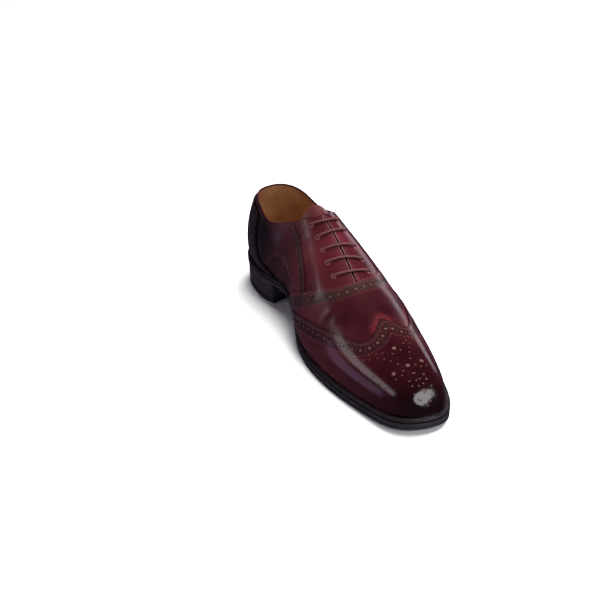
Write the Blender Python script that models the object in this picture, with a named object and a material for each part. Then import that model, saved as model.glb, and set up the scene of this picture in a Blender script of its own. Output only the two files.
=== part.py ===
"""Left shoe: a full brogue with closed lacing, a low heel and a rubber forepart.

Units are metres, +X runs to the toe, +Y to the outer (lateral) side, +Z up.
The origin is under the middle of the sole.  All leather is cut from one form,
the last, whose ribs run from the feather edge above the welt to the ridge.
"""
import bmesh
import bpy
import numpy as np
from mathutils import Vector

# Sizes of the sole
LENGTH = 0.302
BALL_WIDTH = 0.104
HEEL_HEIGHT = 0.025
HEEL_DROP = 0.0025
HEEL_LENGTH = 0.075
TOE_SPRING = 0.0055
FLAT_START = 0.59 * LENGTH
FLAT_END = 0.71 * LENGTH
OUTSOLE = 0.0036
TREAD = 0.0030
WELT = 0.0030
WELT_WIDTH = 0.0115
INSOLE = 0.0025
INSOLE_CLEARANCE = 0.0012
TOP_PIECE = 0.0060
HEEL_SPLIT = 0.030
BREAST_HOLLOW = 0.006
EDGE_ROUND = 0.0008
HEEL_INSET = 0.0008
TREAD_REAR = 0.48 * LENGTH

# Sizes of the upper
LAST_RISE = 0.092
COLLAR_RISE = 0.063
WALL = 0.0018
OVERLAY = 0.0011
CAP_OVERLAY = 0.0019
STRIP_OVERLAY = 0.0010
TONGUE = 0.0016
TONGUE_TOP = 0.331 * LENGTH
TONGUE_FOOT = 0.62 * LENGTH
TONGUE_GAP = 0.0014
SLOT = 0.0026
STRIP_MARGIN = 0.012
THROAT_TOP = 0.374 * LENGTH
THROAT_END = 0.581 * LENGTH
LACE = 0.0022
LACE_SPAN = 0.215
GAP = 0.0004
SKIN = 0.0010
FOOT_BLEND = 0.08

# Outline of the sole: along as a share of LENGTH, half widths as shares of BALL_WIDTH
OUTLINE_COLUMNS = ("along", "medial", "lateral")
OUTLINE = [
    (0.00, 0.000, 0.000),
    (0.02, 0.200, 0.190),
    (0.08, 0.320, 0.325),
    (0.15, 0.352, 0.362),
    (0.22, 0.335, 0.380),
    (0.30, 0.270, 0.410),
    (0.36, 0.290, 0.445),
    (0.42, 0.345, 0.490),
    (0.48, 0.415, 0.520),
    (0.55, 0.468, 0.522),
    (0.62, 0.487, 0.497),
    (0.70, 0.478, 0.455),
    (0.78, 0.443, 0.397),
    (0.86, 0.392, 0.318),
    (0.92, 0.345, 0.248),
    (0.97, 0.245, 0.162),
    (1.00, 0.000, 0.000),
]
# Shelf of the welt outside the upper, as shares of BALL_WIDTH
SHELF_COLUMNS = ("along", "medial", "lateral")
SHELF = [
    (0.00, 0.024, 0.024),
    (0.10, 0.024, 0.024),
    (0.22, 0.017, 0.024),
    (0.33, 0.003, 0.019),
    (0.45, 0.014, 0.029),
    (0.60, 0.038, 0.038),
    (0.80, 0.044, 0.044),
    (1.00, 0.053, 0.053),
]
# Ribs: bulge and crown as shares of a rib's width, shoulder as a share of its rise
RIB_COLUMNS = ("along", "bulge_medial", "shoulder_medial", "crown_medial",
               "bulge_lateral", "shoulder_lateral", "crown_lateral")
RIBS = [
    (0.00, 0.16, 0.42, 0.55, 0.16, 0.42, 0.55),
    (0.08, 0.16, 0.42, 0.55, 0.16, 0.42, 0.55),
    (0.20, 0.22, 0.40, 0.55, 0.16, 0.42, 0.55),
    (0.33, 0.40, 0.42, 0.50, 0.13, 0.42, 0.47),
    (0.45, 0.22, 0.42, 0.48, 0.09, 0.42, 0.47),
    (0.58, 0.10, 0.46, 0.48, 0.12, 0.46, 0.50),
    (0.72, 0.08, 0.52, 0.52, 0.08, 0.50, 0.52),
    (0.85, 0.06, 0.60, 0.58, 0.06, 0.58, 0.58),
    (0.95, 0.04, 0.66, 0.60, 0.04, 0.64, 0.60),
    (1.00, 0.03, 0.66, 0.60, 0.03, 0.66, 0.60),
]
# Ridge of the last: place as a share of LENGTH, rise of LAST_RISE, side of BALL_WIDTH
RIDGE_COLUMNS = ("along", "place", "rise", "side")
RIDGE = [
    (0.00, 0.139, 1.000, 0.000),
    (0.08, 0.172, 0.989, 0.005),
    (0.20, 0.252, 0.957, 0.014),
    (0.33, 0.351, 0.908, 0.034),
    (0.42, 0.430, 0.832, 0.043),
    (0.50, 0.503, 0.750, 0.034),
    (0.58, 0.581, 0.647, 0.014),
    (0.66, 0.659, 0.554, 0.005),
    (0.74, 0.735, 0.462, 0.000),
    (0.82, 0.811, 0.386, 0.000),
    (0.90, 0.887, 0.321, 0.000),
    (0.96, 0.944, 0.234, 0.000),
    (1.00, 0.9818, 0.000, 0.000),
]
# Collar: rise over the feather edge as a share of COLLAR_RISE, by place along the ridge
COLLAR_COLUMNS = ("place", "rise")
COLLAR = [
    (0.139, 1.000),
    (0.180, 0.945),
    (0.225, 0.875),
    (0.255, 0.862),
    (0.288, 0.925),
    (0.315, 1.010),
    (0.345, 1.130),
    (0.365, 1.225),
    (0.374, 1.255),
]
# Seams, by spread from the ridge (0) to the feather edge (1), as shares of LENGTH
WING_COLUMNS = ("spread", "place")
WING = [
    (0.00, 0.715),
    (0.10, 0.733),
    (0.20, 0.750),
    (0.30, 0.752),
    (0.40, 0.731),
    (0.47, 0.697),
    (0.54, 0.660),
    (0.62, 0.598),
    (0.70, 0.538),
    (0.80, 0.486),
    (0.92, 0.440),
    (1.00, 0.418),
]
VAMP_COLUMNS = ("spread", "place")
VAMP = [
    (0.00, 0.5835),
    (0.15, 0.578),
    (0.28, 0.563),
    (0.42, 0.532),
    (0.50, 0.514),
    (0.58, 0.492),
    (0.68, 0.462),
    (0.80, 0.428),
    (1.00, 0.392),
]
STRIP_COLUMNS = ("place", "front", "rear")
STRIP = [
    (0.300, 0.355, 0.405),
    (0.321, 0.375, 0.425),
    (0.357, 0.406, 0.462),
    (0.397, 0.431, 0.503),
    (0.430, 0.469, 0.556),
    (0.467, 0.519, 0.625),
    (0.493, 0.575, 0.680),
]
COUNTER_COLUMNS = ("rise", "place")
COUNTER = [
    (0.00, 0.292),
    (0.15, 0.272),
    (0.21, 0.250),
    (0.35, 0.229),
    (0.57, 0.218),
    (0.80, 0.210),
    (1.00, 0.206),
]
# Lace bars: places of their ends and of their middle along the ridge
BAR_COLUMNS = ("medial", "middle", "lateral")
BARS = [
    (0.381, 0.394, 0.386),
    (0.420, 0.427, 0.420),
    (0.457, 0.470, 0.470),
    (0.493, 0.507, 0.512),
    (0.534, 0.549, 0.549),
]

# Counts of facets
HEEL_STEPS = 14
CROWDING = 1.35
THROAT_STEPS = 8
FRONT_STEPS = 14
RIB_STEPS = 12
TONGUE_STEPS = 4
SOLE_STEPS = 42
PANEL_ROWS = 26
CAP_STEPS = 21
VAMP_STEPS = 6
STRIP_STEPS = 12
STRIP_LINES = 4
COUNTER_STEPS = 26
COUNTER_ROWS = 11
LACE_STEPS = 8
BREAST_SIDES = 96
HALVINGS = 30


def station(along):
    """Share of the way round half the sole (0 heel, 1 toe) of a place along it."""
    return np.arccos(1 - 2 * np.asarray(along, float)) / np.pi


def natural(knots, values):
    """Natural cubic spline through the knots, as a function."""
    x = np.asarray(knots, float)
    y = np.asarray(values, float)
    h = np.diff(x)
    count = len(x)
    system = np.eye(count)
    right = np.zeros(count)
    for i in range(1, count - 1):
        system[i, i - 1:i + 2] = h[i - 1], 2 * (h[i - 1] + h[i]), h[i]
        right[i] = 6 * ((y[i + 1] - y[i]) / h[i] - (y[i] - y[i - 1]) / h[i - 1])
    bend = np.linalg.solve(system, right)

    def curve(at):
        at = np.asarray(at, float)
        i = np.clip(np.searchsorted(x, at) - 1, 0, count - 2)
        a = x[i + 1] - at
        b = at - x[i]
        cubic = (bend[i] * a ** 3 + bend[i + 1] * b ** 3) / (6 * h[i])
        left = (y[i] / h[i] - bend[i] * h[i] / 6) * a
        return cubic + left + (y[i + 1] / h[i] - bend[i + 1] * h[i] / 6) * b
    return curve


def around(along, medial, lateral, sign=1.0):
    """Closed curve round the shoe; medial places are negative, lateral ones positive."""
    s = station(along)
    medial = sign * np.asarray(medial, float)
    lateral = np.asarray(lateral, float)
    knots = np.concatenate([-s[::-1], s[1:]])
    values = np.concatenate([medial[::-1], lateral[1:]])
    wrap = 4
    low = knots[-1 - wrap:-1] - 2
    high = knots[1:1 + wrap] + 2
    knots = np.concatenate([low, knots, high])
    values = np.concatenate([values[-1 - wrap:-1], values, values[1:1 + wrap]])
    return natural(knots, values)


def column(table, names, name):
    """One named column of a table."""
    return np.array([row[names.index(name)] for row in table], float)


def even(table, names, name):
    """Curve along the ridge that is level where it starts at the heel."""
    s = station(column(table, names, "along"))
    value = column(table, names, name)
    knots = np.concatenate([-s[4:0:-1], s])
    return natural(knots, np.concatenate([value[4:0:-1], value]))


sole_side = around(column(OUTLINE, OUTLINE_COLUMNS, "along"),
                   column(OUTLINE, OUTLINE_COLUMNS, "medial"),
                   column(OUTLINE, OUTLINE_COLUMNS, "lateral"), sign=-1.0)
shelf = around(*(column(SHELF, SHELF_COLUMNS, name) for name in SHELF_COLUMNS))
rib_curves = {
    name: around(column(RIBS, RIB_COLUMNS, "along"),
                 column(RIBS, RIB_COLUMNS, name + "_medial"),
                 column(RIBS, RIB_COLUMNS, name + "_lateral"))
    for name in ("bulge", "shoulder", "crown")}
ridge_curves = {name: even(RIDGE, RIDGE_COLUMNS, name) for name in RIDGE_COLUMNS[1:]}
collar_curve = natural(column(COLLAR, COLLAR_COLUMNS, "place"),
                       column(COLLAR, COLLAR_COLUMNS, "rise"))
wing_curve = natural(column(WING, WING_COLUMNS, "spread"), column(WING, WING_COLUMNS, "place"))
vamp_curve = natural(column(VAMP, VAMP_COLUMNS, "spread"), column(VAMP, VAMP_COLUMNS, "place"))
strip_curves = {name: natural(column(STRIP, STRIP_COLUMNS, "place"),
                              column(STRIP, STRIP_COLUMNS, name))
                for name in STRIP_COLUMNS[1:]}
counter_curve = natural(column(COUNTER, COUNTER_COLUMNS, "rise"),
                        column(COUNTER, COUNTER_COLUMNS, "place"))


def sole_edge(c):
    """Plan of the sole's edge at place c round it."""
    x = LENGTH * (1 - np.cos(np.pi * np.asarray(c, float))) / 2
    return np.stack([x, BALL_WIDTH * sole_side(c)], -1)


def outward(c):
    """Unit vector square to the sole's edge, in plan."""
    step = 1e-3
    run = sole_edge(np.asarray(c) + step) - sole_edge(np.asarray(c) - step)
    side = np.stack([-run[..., 1], run[..., 0]], -1)
    return side / np.linalg.norm(side, axis=-1, keepdims=True)


def inset_edge(c, inset):
    """Sole's edge moved inwards."""
    return sole_edge(c) - outward(c) * np.asarray(inset, float)[..., None]


def underside(x):
    """Height of the outsole's underside: heel seat, arch, flat tread and toe spring."""
    x = np.asarray(x, float)
    slope = -HEEL_DROP / HEEL_LENGTH
    front = HEEL_HEIGHT - HEEL_DROP
    span = FLAT_START - HEEL_LENGTH
    t = np.clip((x - HEEL_LENGTH) / span, 0, 1)
    fall = 2 * t ** 3 - 3 * t ** 2 + 1
    arch = TREAD + (front - TREAD) * fall + slope * span * (t ** 3 - 2 * t ** 2 + t)
    rise = np.clip((x - FLAT_END) / (LENGTH - FLAT_END), 0, None)
    toe = TREAD + TOE_SPRING * rise ** 1.9
    seat = HEEL_HEIGHT + slope * x
    return np.where(x < HEEL_LENGTH, seat, np.where(x < FLAT_START, arch, toe))


def welt_top(x):
    """Height of the welt's upper face."""
    return underside(x) + OUTSOLE + WELT


def feather(c):
    """Edge where the upper meets the welt."""
    plan = inset_edge(c, BALL_WIDTH * shelf(c))
    return np.concatenate([plan, welt_top(plan[..., :1]) + GAP], -1)


def ridge(s):
    """Top line of the last."""
    x = LENGTH * ridge_curves["place"](s)
    z = welt_top(x) + GAP + LAST_RISE * ridge_curves["rise"](s)
    return np.stack([x, BALL_WIDTH * ridge_curves["side"](s), z], -1)


def ridge_slope(s):
    """Steepness of the ridge."""
    step = 1e-3
    a = ridge(np.maximum(s - step, 0))
    b = ridge(np.minimum(s + step, 1))
    return np.clip((b[..., 2] - a[..., 2]) / np.maximum(b[..., 0] - a[..., 0], 1e-9), -3, 3)


def last(c, r):
    """Point of the last on the rib at c, from the feather edge (0) to the ridge (1)."""
    c, r = np.broadcast_arrays(np.asarray(c, float), np.asarray(r, float))
    s = np.abs(c)
    foot = feather(c)
    top = ridge(s)
    across = foot[..., :2] - top[..., :2]
    width = np.linalg.norm(across, axis=-1)
    sideways = np.stack([0 * c, np.where(c < 0, -1.0, 1.0)], -1)
    tip = width < 1e-7
    across = np.where(tip[..., None], sideways, across / np.maximum(width, 1e-7)[..., None])
    rise = top[..., 2] - foot[..., 2]
    bulge = foot.copy()
    bulge[..., :2] += outward(c) * (rib_curves["bulge"](c) * width)[..., None]
    bulge[..., 2] += rib_curves["shoulder"](c) * rise
    crown = top.copy()
    reach = rib_curves["crown"](c) * width
    crown[..., :2] += across * reach[..., None]
    crown[..., 2] += ridge_slope(s) * across[..., 0] * reach
    r = r[..., None]
    low = foot * (1 - r) ** 3 + 3 * bulge * r * (1 - r) ** 2
    return low + 3 * crown * r ** 2 * (1 - r) + top * r ** 3


def facing_out(c, r):
    """Unit vector square to the last's surface."""
    c, r = np.broadcast_arrays(np.asarray(c, float), np.asarray(r, float))
    step = 2e-3
    limit = 1 - 2 * step
    near = np.clip(c, -limit, limit)
    up = last(near, np.minimum(r + step, 1)) - last(near, np.maximum(r - step, 0))
    run = last(near + step, r) - last(near - step, r)
    square = np.cross(up, run)
    square /= np.maximum(np.linalg.norm(square, axis=-1, keepdims=True), 1e-12)
    slope = ridge_slope(np.abs(near))
    crest = np.stack([-slope, 0 * slope, 0 * slope + 1], -1)
    crest /= np.linalg.norm(crest, axis=-1, keepdims=True)
    square = np.where((r > 1 - step)[..., None], crest, square)
    square = np.where((np.abs(c) > limit)[..., None], [1.0, 0.0, 0.0], square)
    square[..., 2] *= np.clip(r / FOOT_BLEND, 0, 1)
    return square / np.linalg.norm(square, axis=-1, keepdims=True)


def skin(c, r, height):
    """Point at a height over the last's surface."""
    return last(c, r) + facing_out(c, r) * height


STATIONS = np.linspace(0, 1, 2001)
PLACES = LENGTH * ridge_curves["place"](STATIONS)


def ridge_x(s):
    """Place along the shoe of a rib's top."""
    return LENGTH * ridge_curves["place"](s)


def ridge_station(x):
    """Rib whose top stands at x along the ridge."""
    return np.interp(x, PLACES, STATIONS)


def rise_share(c, height):
    """How far up its rib the last reaches a height over its own foot."""
    low = np.zeros_like(c)
    high = np.ones_like(c)
    foot = feather(c)[..., 2]
    for _ in range(HALVINGS):
        middle = (low + high) / 2
        under = last(c, middle)[..., 2] - foot < height
        low = np.where(under, middle, low)
        high = np.where(under, high, middle)
    return (low + high) / 2


def slot_share(c):
    """How far up its rib the edge of the lacing slot lies."""
    s = np.abs(c)
    span = np.linalg.norm(feather(c)[..., :2] - ridge(s)[..., :2], axis=-1)
    return 1 - SLOT / 2 / (3 * rib_curves["crown"](c) * span)


def top_share(c):
    """Upper edge of the upper on its rib: collar, then slot, then the closed ridge."""
    c = np.asarray(c, float)
    s = np.abs(c)
    x = ridge_x(s)
    collar = rise_share(c, COLLAR_RISE * collar_curve(x / LENGTH))
    slot = slot_share(c)
    open_slot = x < THROAT_END - 1e-6
    top = np.where(open_slot, slot, 1.0)
    return np.where(x < THROAT_TOP - 1e-6, np.minimum(collar, slot), top)


OUTLINE_LOOP = sole_edge(np.linspace(-1, 1, 801))
MIDDLE = np.array([(OUTLINE_LOOP[:, i].min() + OUTLINE_LOOP[:, i].max()) / 2 for i in (0, 1)])


def centred(points):
    """Points moved so that the origin is under the middle of the sole."""
    points = np.array(points, float)
    points[..., :2] -= MIDDLE
    return points


def material(name, colour, roughness, metallic=0.0):
    """Plain finish of one piece."""
    made = bpy.data.materials.new(name)
    made.use_nodes = True
    shader = made.node_tree.nodes["Principled BSDF"]
    shader.inputs["Base Color"].default_value = (*colour, 1.0)
    shader.inputs["Roughness"].default_value = roughness
    shader.inputs["Metallic"].default_value = metallic
    return made


for old in list(bpy.data.objects):
    bpy.data.objects.remove(old, do_unlink=True)
shoe = bpy.data.collections.new("brogue_shoe")
cutters = bpy.data.collections.new("cutters")
for group in (shoe, cutters):
    bpy.context.scene.collection.children.link(group)

BURGUNDY = (0.16, 0.018, 0.032)
DARK_BURGUNDY = (0.075, 0.012, 0.018)
BLACK = (0.012, 0.012, 0.015)


def add_mesh(name, mesh_data, colour, roughness):
    """Put a finished mesh in the scene as one piece."""
    mesh = bpy.data.meshes.new(name)
    bmesh.ops.remove_doubles(mesh_data, verts=mesh_data.verts, dist=1e-6)
    bmesh.ops.dissolve_degenerate(mesh_data, edges=mesh_data.edges, dist=1e-7)
    mesh_data.to_mesh(mesh)
    mesh_data.free()
    mesh.shade_smooth()
    mesh.set_sharp_from_angle(angle=0.7)
    piece = bpy.data.objects.new(name, mesh)
    shoe.objects.link(piece)
    mesh.materials.append(material(name, colour, roughness))
    return piece


def join_rows(mesh_data, rows, wrap_rows=False, wrap_points=False):
    """Skin a grid of points with four-sided faces."""
    made = [[mesh_data.verts.new(Vector(point)) for point in row] for row in centred(rows)]
    count = len(made)
    width = len(made[0])
    for i in range(count if wrap_rows else count - 1):
        for j in range(width if wrap_points else width - 1):
            a = made[i][j]
            b = made[i][(j + 1) % width]
            c = made[(i + 1) % count][(j + 1) % width]
            d = made[(i + 1) % count][j]
            mesh_data.faces.new((a, b, c, d))
    return made


def leather(name, turns, shares, height, thickness, colour, roughness):
    """Piece of leather over a grid of places on the last, its outer face at a height."""
    mesh_data = bmesh.new()
    inner_place = mesh_data.verts.layers.float_vector.new("inner_place")
    made = join_rows(mesh_data, skin(turns, shares, height))
    for row, lining in zip(made, centred(skin(turns, shares, height - thickness))):
        for corner, place in zip(row, lining):
            corner[inner_place] = Vector(place)
    bmesh.ops.remove_doubles(mesh_data, verts=mesh_data.verts, dist=1e-6)
    rim = [edge for edge in mesh_data.edges if edge.is_boundary]
    outer_faces = list(mesh_data.faces)
    inner = {corner: mesh_data.verts.new(corner[inner_place]) for corner in list(mesh_data.verts)}
    for edge in rim:
        loop = edge.link_loops[0]
        start = loop.vert
        end = loop.link_loop_next.vert
        mesh_data.faces.new((end, start, inner[start], inner[end]))
    for face in outer_faces:
        mesh_data.faces.new([inner[corner] for corner in reversed(face.verts)])
    return add_mesh(name, mesh_data, colour, roughness)


def sole_layer(name, start, end, inset, low, high, colour, roughness, rounding=0.0):
    """Slab of the sole between two stations, with square or rounded edges."""
    stations = np.linspace(start, end, max(4, int(round(SOLE_STEPS * (end - start)))) + 1)
    corners = [(0.0, low, 0.0), (0.0, high, 0.0)]
    if rounding:
        corners = [(rounding, low, 0.0), (0.0, low, rounding),
                   (0.0, high, -rounding), (rounding, high, 0.0)]
    rows = []
    for s in stations:
        row = []
        for c, order in ((s, 1), (-s, -1)):
            for extra, height, lift in corners[::order]:
                x, y = inset_edge(c, inset(c) + extra)
                row.append((x, y, float(height(x)) + lift))
        rows.append(row)
    mesh_data = bmesh.new()
    made = join_rows(mesh_data, rows, wrap_points=True)
    if start > 0:
        mesh_data.faces.new(made[0][::-1])
    if end < 1:
        mesh_data.faces.new(made[-1])
    return add_mesh(name, mesh_data, colour, roughness)


def sole_station(x):
    """Station of the sole's edge at x."""
    return float(station(x / LENGTH))


def level(height):
    """Height over the floor, the same all along."""
    return lambda x: height


def under(height):
    """Height over the outsole's underside."""
    return lambda x: underside(x) + height


def flush(c):
    """Edge of a layer that comes to the sole's own edge."""
    return 0.0


def heel_edge(c):
    """Edge of the heel's layers, a little inside the sole's."""
    return HEEL_INSET


def insole_edge(c):
    """Edge of the insole, inside the upper's wall."""
    return BALL_WIDTH * shelf(c) + SKIN + WALL + INSOLE_CLEARANCE


# Sole
sole_layer("outsole", 0, 1, flush, under(0), under(OUTSOLE - GAP), BLACK, 0.45,
           EDGE_ROUND)
sole_layer("forepart_tread", sole_station(TREAD_REAR), 1, flush, under(-TREAD), under(-GAP),
           BLACK, 0.7, EDGE_ROUND)
sole_layer("insole", 0, 1, insole_edge, under(OUTSOLE + WELT + GAP),
           under(OUTSOLE + WELT + GAP + INSOLE), (0.45, 0.2, 0.08), 0.6)

# Welt, a strip all the way round on the outsole
welt_mesh = bmesh.new()
welt_rows = []
for turn in np.linspace(-1, 1, 2 * SOLE_STEPS, endpoint=False):
    corners = ((EDGE_ROUND, OUTSOLE, 0), (0, OUTSOLE, EDGE_ROUND),
               (0, OUTSOLE + WELT, -EDGE_ROUND), (EDGE_ROUND, OUTSOLE + WELT, 0),
               (WELT_WIDTH, OUTSOLE + WELT, 0), (WELT_WIDTH, OUTSOLE, 0))
    ring = []
    for inwards, height, lift in corners:
        place_x, place_y = inset_edge(turn, inwards)
        ring.append((place_x, place_y, float(underside(place_x)) + height + lift))
    welt_rows.append(ring)
join_rows(welt_mesh, welt_rows, wrap_rows=True, wrap_points=True)
add_mesh("welt", welt_mesh, BLACK, 0.4)

# Heel: a block on a top piece whose rear is let in as a harder rubber
breast = sole_station(HEEL_LENGTH)
split = sole_station(HEEL_SPLIT)
heel_pieces = [
    sole_layer("heel_block", 0, breast, heel_edge, level(TOP_PIECE), under(-GAP), BLACK, 0.5),
    sole_layer("heel_top_piece", split + GAP / LENGTH, breast, heel_edge, level(0),
               level(TOP_PIECE - GAP), BLACK, 0.65),
    sole_layer("heel_rubber", 0, split - GAP / LENGTH, heel_edge, level(0),
               level(TOP_PIECE - GAP), BLACK, 0.75),
]
half_breast = BALL_WIDTH * float(sole_side(breast) - sole_side(-breast)) / 2
hollow_radius = (half_breast ** 2 + BREAST_HOLLOW ** 2) / (2 * BREAST_HOLLOW)
bpy.ops.mesh.primitive_cylinder_add(
    vertices=BREAST_SIDES, radius=hollow_radius, depth=4 * HEEL_HEIGHT,
    location=(HEEL_LENGTH - BREAST_HOLLOW + hollow_radius - MIDDLE[0],
              BALL_WIDTH * float(sole_side(breast) + sole_side(-breast)) / 2 - MIDDLE[1],
              HEEL_HEIGHT))
hollow = bpy.context.object
hollow.name = "breast_hollow"
hollow.hide_render = True
hollow.display_type = "WIRE"
for group in list(hollow.users_collection):
    group.objects.unlink(hollow)
cutters.objects.link(hollow)
for piece in heel_pieces[:2]:
    cut = piece.modifiers.new("breast", "BOOLEAN")
    cut.operation = "DIFFERENCE"
    cut.solver = "EXACT"
    cut.object = hollow

# Upper: one shell open at the collar, the lacing slot and the feather edge
throat_station = float(ridge_station(THROAT_TOP))
vamp_station = float(ridge_station(THROAT_END))
half_turn = np.concatenate([
    throat_station * (1 - np.linspace(1, 0, HEEL_STEPS + 1) ** CROWDING),
    np.linspace(throat_station, vamp_station, THROAT_STEPS + 1)[1:],
    np.linspace(vamp_station, 1, FRONT_STEPS + 1)[1:]])
turn = np.concatenate([-half_turn[::-1], half_turn[1:]])
rib_shares = np.linspace(0, 1, RIB_STEPS + 1)
turn_grid = np.repeat(turn[:, None], RIB_STEPS + 1, axis=1)
share_grid = top_share(turn)[:, None] * rib_shares[None, :]
leather("upper", turn_grid, share_grid, -SKIN, WALL, BURGUNDY, 0.3)


def panel(spreads, starts, ends, steps):
    """Places between two seams, one row for each spread (negative on the medial side)."""
    mix = np.linspace(0, 1, steps + 1)[None, :]
    stations = starts[:, None] * (1 - mix) + ends[:, None] * mix
    side = np.where(spreads > 0, 1.0, -1.0)[:, None]
    return side * stations, np.repeat(1 - np.abs(spreads)[:, None], steps + 1, axis=1)


# Wing cap over the toe, and the vamp behind it
spreads = np.linspace(-1, 1, PANEL_ROWS + 1)
wing_places = LENGTH * wing_curve(np.abs(spreads))
vamp_places = LENGTH * vamp_curve(np.abs(spreads))
leather("wing_cap",
        *panel(spreads, ridge_station(wing_places), np.ones_like(spreads), CAP_STEPS),
        GAP + CAP_OVERLAY - SKIN, CAP_OVERLAY, DARK_BURGUNDY, 0.25)
leather("vamp",
        *panel(spreads, ridge_station(vamp_places), ridge_station(wing_places - 2 * GAP),
               VAMP_STEPS),
        GAP + OVERLAY - SKIN, OVERLAY, BURGUNDY, 0.3)

def strip_spread(place, line):
    """Spread of one of a strip's lines (0 front, 1 rear) at a place along the ridge."""
    front = strip_curves["front"](place)
    return front + (strip_curves["rear"](place) - front) * line


# Punched strips along the rear edges of the facings, from the collar to the vamp
lines = np.linspace(0, 1, STRIP_LINES)
for name, side in (("facing_strip_medial", -1), ("facing_strip_lateral", 1)):
    low = np.full_like(lines, STRIP[0][0])
    high = np.full_like(lines, COLLAR[-1][0])
    for _ in range(HALVINGS):
        middle = (low + high) / 2
        c = side * ridge_station(LENGTH * middle)
        over = strip_spread(middle, lines) < 1 - top_share(c) + STRIP_MARGIN
        low = np.where(over, middle, low)
        high = np.where(over, high, middle)
    first = low
    final = np.full_like(lines, STRIP[-2][0])
    for _ in range(HALVINGS):
        final = (final + vamp_curve(strip_spread(final, lines)) - 2 * GAP / LENGTH) / 2
    mix = np.linspace(0, 1, STRIP_STEPS + 1)[:, None]
    places = first * (1 - mix) + final * mix
    spans = strip_spread(places, lines)
    turns = side * ridge_station(LENGTH * places)
    leather(name, turns[::-side], 1 - spans[::-side], GAP + STRIP_OVERLAY - SKIN, STRIP_OVERLAY,
            DARK_BURGUNDY, 0.4)

# Counter round the heel
rises = np.linspace(0, 1, COUNTER_ROWS + 1)
reach = ridge_station(LENGTH * counter_curve(rises))
swing = np.linspace(-1, 1, COUNTER_STEPS + 1)
counter_turn = swing[:, None] * reach[None, :]
counter_share = rises[None, :] * COUNTER_ROWS / RIB_STEPS * top_share(counter_turn)
leather("counter", counter_turn, counter_share, GAP + OVERLAY - SKIN, OVERLAY,
        DARK_BURGUNDY, 0.3)

# Tongue under the facings
over_tongue = (ridge_x(half_turn) > TONGUE_TOP) & (ridge_x(half_turn) < TONGUE_FOOT)
tongue_stations = np.concatenate([
    [float(ridge_station(TONGUE_TOP))], half_turn[over_tongue],
    [float(ridge_station(TONGUE_FOOT))]])
tongue_spreads = np.linspace(-1, 1, 2 * TONGUE_STEPS + 1) * TONGUE_STEPS / RIB_STEPS
tongue_side = np.where(tongue_spreads > 0, 1.0, -1.0)
leather("tongue", tongue_side[:, None] * tongue_stations[None, :],
        np.repeat(1 - np.abs(tongue_spreads)[:, None], len(tongue_stations), axis=1),
        -SKIN - WALL - TONGUE_GAP, TONGUE, DARK_BURGUNDY, 0.5)

# Lace bars straight across the slot
lace_finish = material("lace_bar", (0.06, 0.015, 0.015), 0.6)
across = np.linspace(-1, 1, LACE_STEPS + 1)
for number, row in enumerate(BARS, start=1):
    medial, middle, lateral = row
    bow = middle + (lateral - medial) / 2 * across + ((lateral + medial) / 2 - middle) * across ** 2
    c = np.where(across > 0, 1.0, -1.0) * ridge_station(LENGTH * bow)
    route = centred(skin(c, 1 - LACE_SPAN * np.abs(across), GAP + LACE / 2 - SKIN))
    curve = bpy.data.curves.new("lace_bar_%d" % number, "CURVE")
    curve.dimensions = "3D"
    curve.bevel_depth = LACE / 2
    curve.bevel_resolution = 2
    curve.use_fill_caps = True
    line = curve.splines.new("POLY")
    line.points.add(len(route) - 1)
    for point, at in zip(line.points, route):
        point.co = (*at, 1.0)
    curve.materials.append(lace_finish)
    shoe.objects.link(bpy.data.objects.new("lace_bar_%d" % number, curve))
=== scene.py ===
"""The left shoe dressed for its portrait: polished brogue uppers on a stitched rubber sole."""
import math

import bmesh
import bpy
import numpy as np
from mathutils import Matrix, Vector, kdtree
from mathutils.geometry import delaunay_2d_cdt


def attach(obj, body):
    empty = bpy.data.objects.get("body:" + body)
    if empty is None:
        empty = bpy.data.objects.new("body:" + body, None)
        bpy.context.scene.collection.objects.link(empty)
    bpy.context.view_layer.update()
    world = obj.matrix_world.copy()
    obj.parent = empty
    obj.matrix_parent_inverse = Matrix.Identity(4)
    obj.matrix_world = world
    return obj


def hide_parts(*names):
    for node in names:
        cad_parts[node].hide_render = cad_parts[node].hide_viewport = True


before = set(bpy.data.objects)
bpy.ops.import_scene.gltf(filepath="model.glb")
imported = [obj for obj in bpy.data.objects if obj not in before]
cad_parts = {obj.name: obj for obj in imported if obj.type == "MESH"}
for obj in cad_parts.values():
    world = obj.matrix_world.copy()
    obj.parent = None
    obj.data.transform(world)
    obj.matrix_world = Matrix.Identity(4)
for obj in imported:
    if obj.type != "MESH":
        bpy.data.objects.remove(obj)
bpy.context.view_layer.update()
scene = bpy.context.scene

# Camera
# Looks down on the shoe from its inner front side, as in the photograph, so the toe
# points to the lower right and the sole's inner edge and heel breast are in view.
camera_data = bpy.data.cameras.new("portrait_camera")
camera_data.lens = 49.68
camera_data.sensor_width = 36.0
camera_data.clip_start = 0.05
camera_data.clip_end = 30.0
camera = bpy.data.objects.new("portrait_camera", camera_data)
scene.collection.objects.link(camera)
camera.matrix_world = Matrix((
    (0.4654, -0.4687, 0.7508, 0.5367),
    (0.8847, 0.2731, -0.3778, -0.3129),
    (-0.0280, 0.8400, 0.5418, 0.4374),
    (0.0, 0.0, 0.0, 1.0)))
scene.camera = camera

# Floor and light
# A white studio floor that throws no gloss on the shoe, under one wide box overhead on its
# outer side; boxes before the toe, beside the inner wall and low down on both sides draw
# the gloss, in a room that is dark plum all round.
scene.view_settings.view_transform = "Standard"
floor_mesh = bpy.data.meshes.new("studio_floor")
sweep = bmesh.new()
bmesh.ops.create_grid(sweep, x_segments=1, y_segments=1, size=6.0)
sweep.to_mesh(floor_mesh)
sweep.free()
studio_floor = bpy.data.objects.new("studio_floor", floor_mesh)
scene.collection.objects.link(studio_floor)
studio_floor.visible_glossy = False


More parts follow.
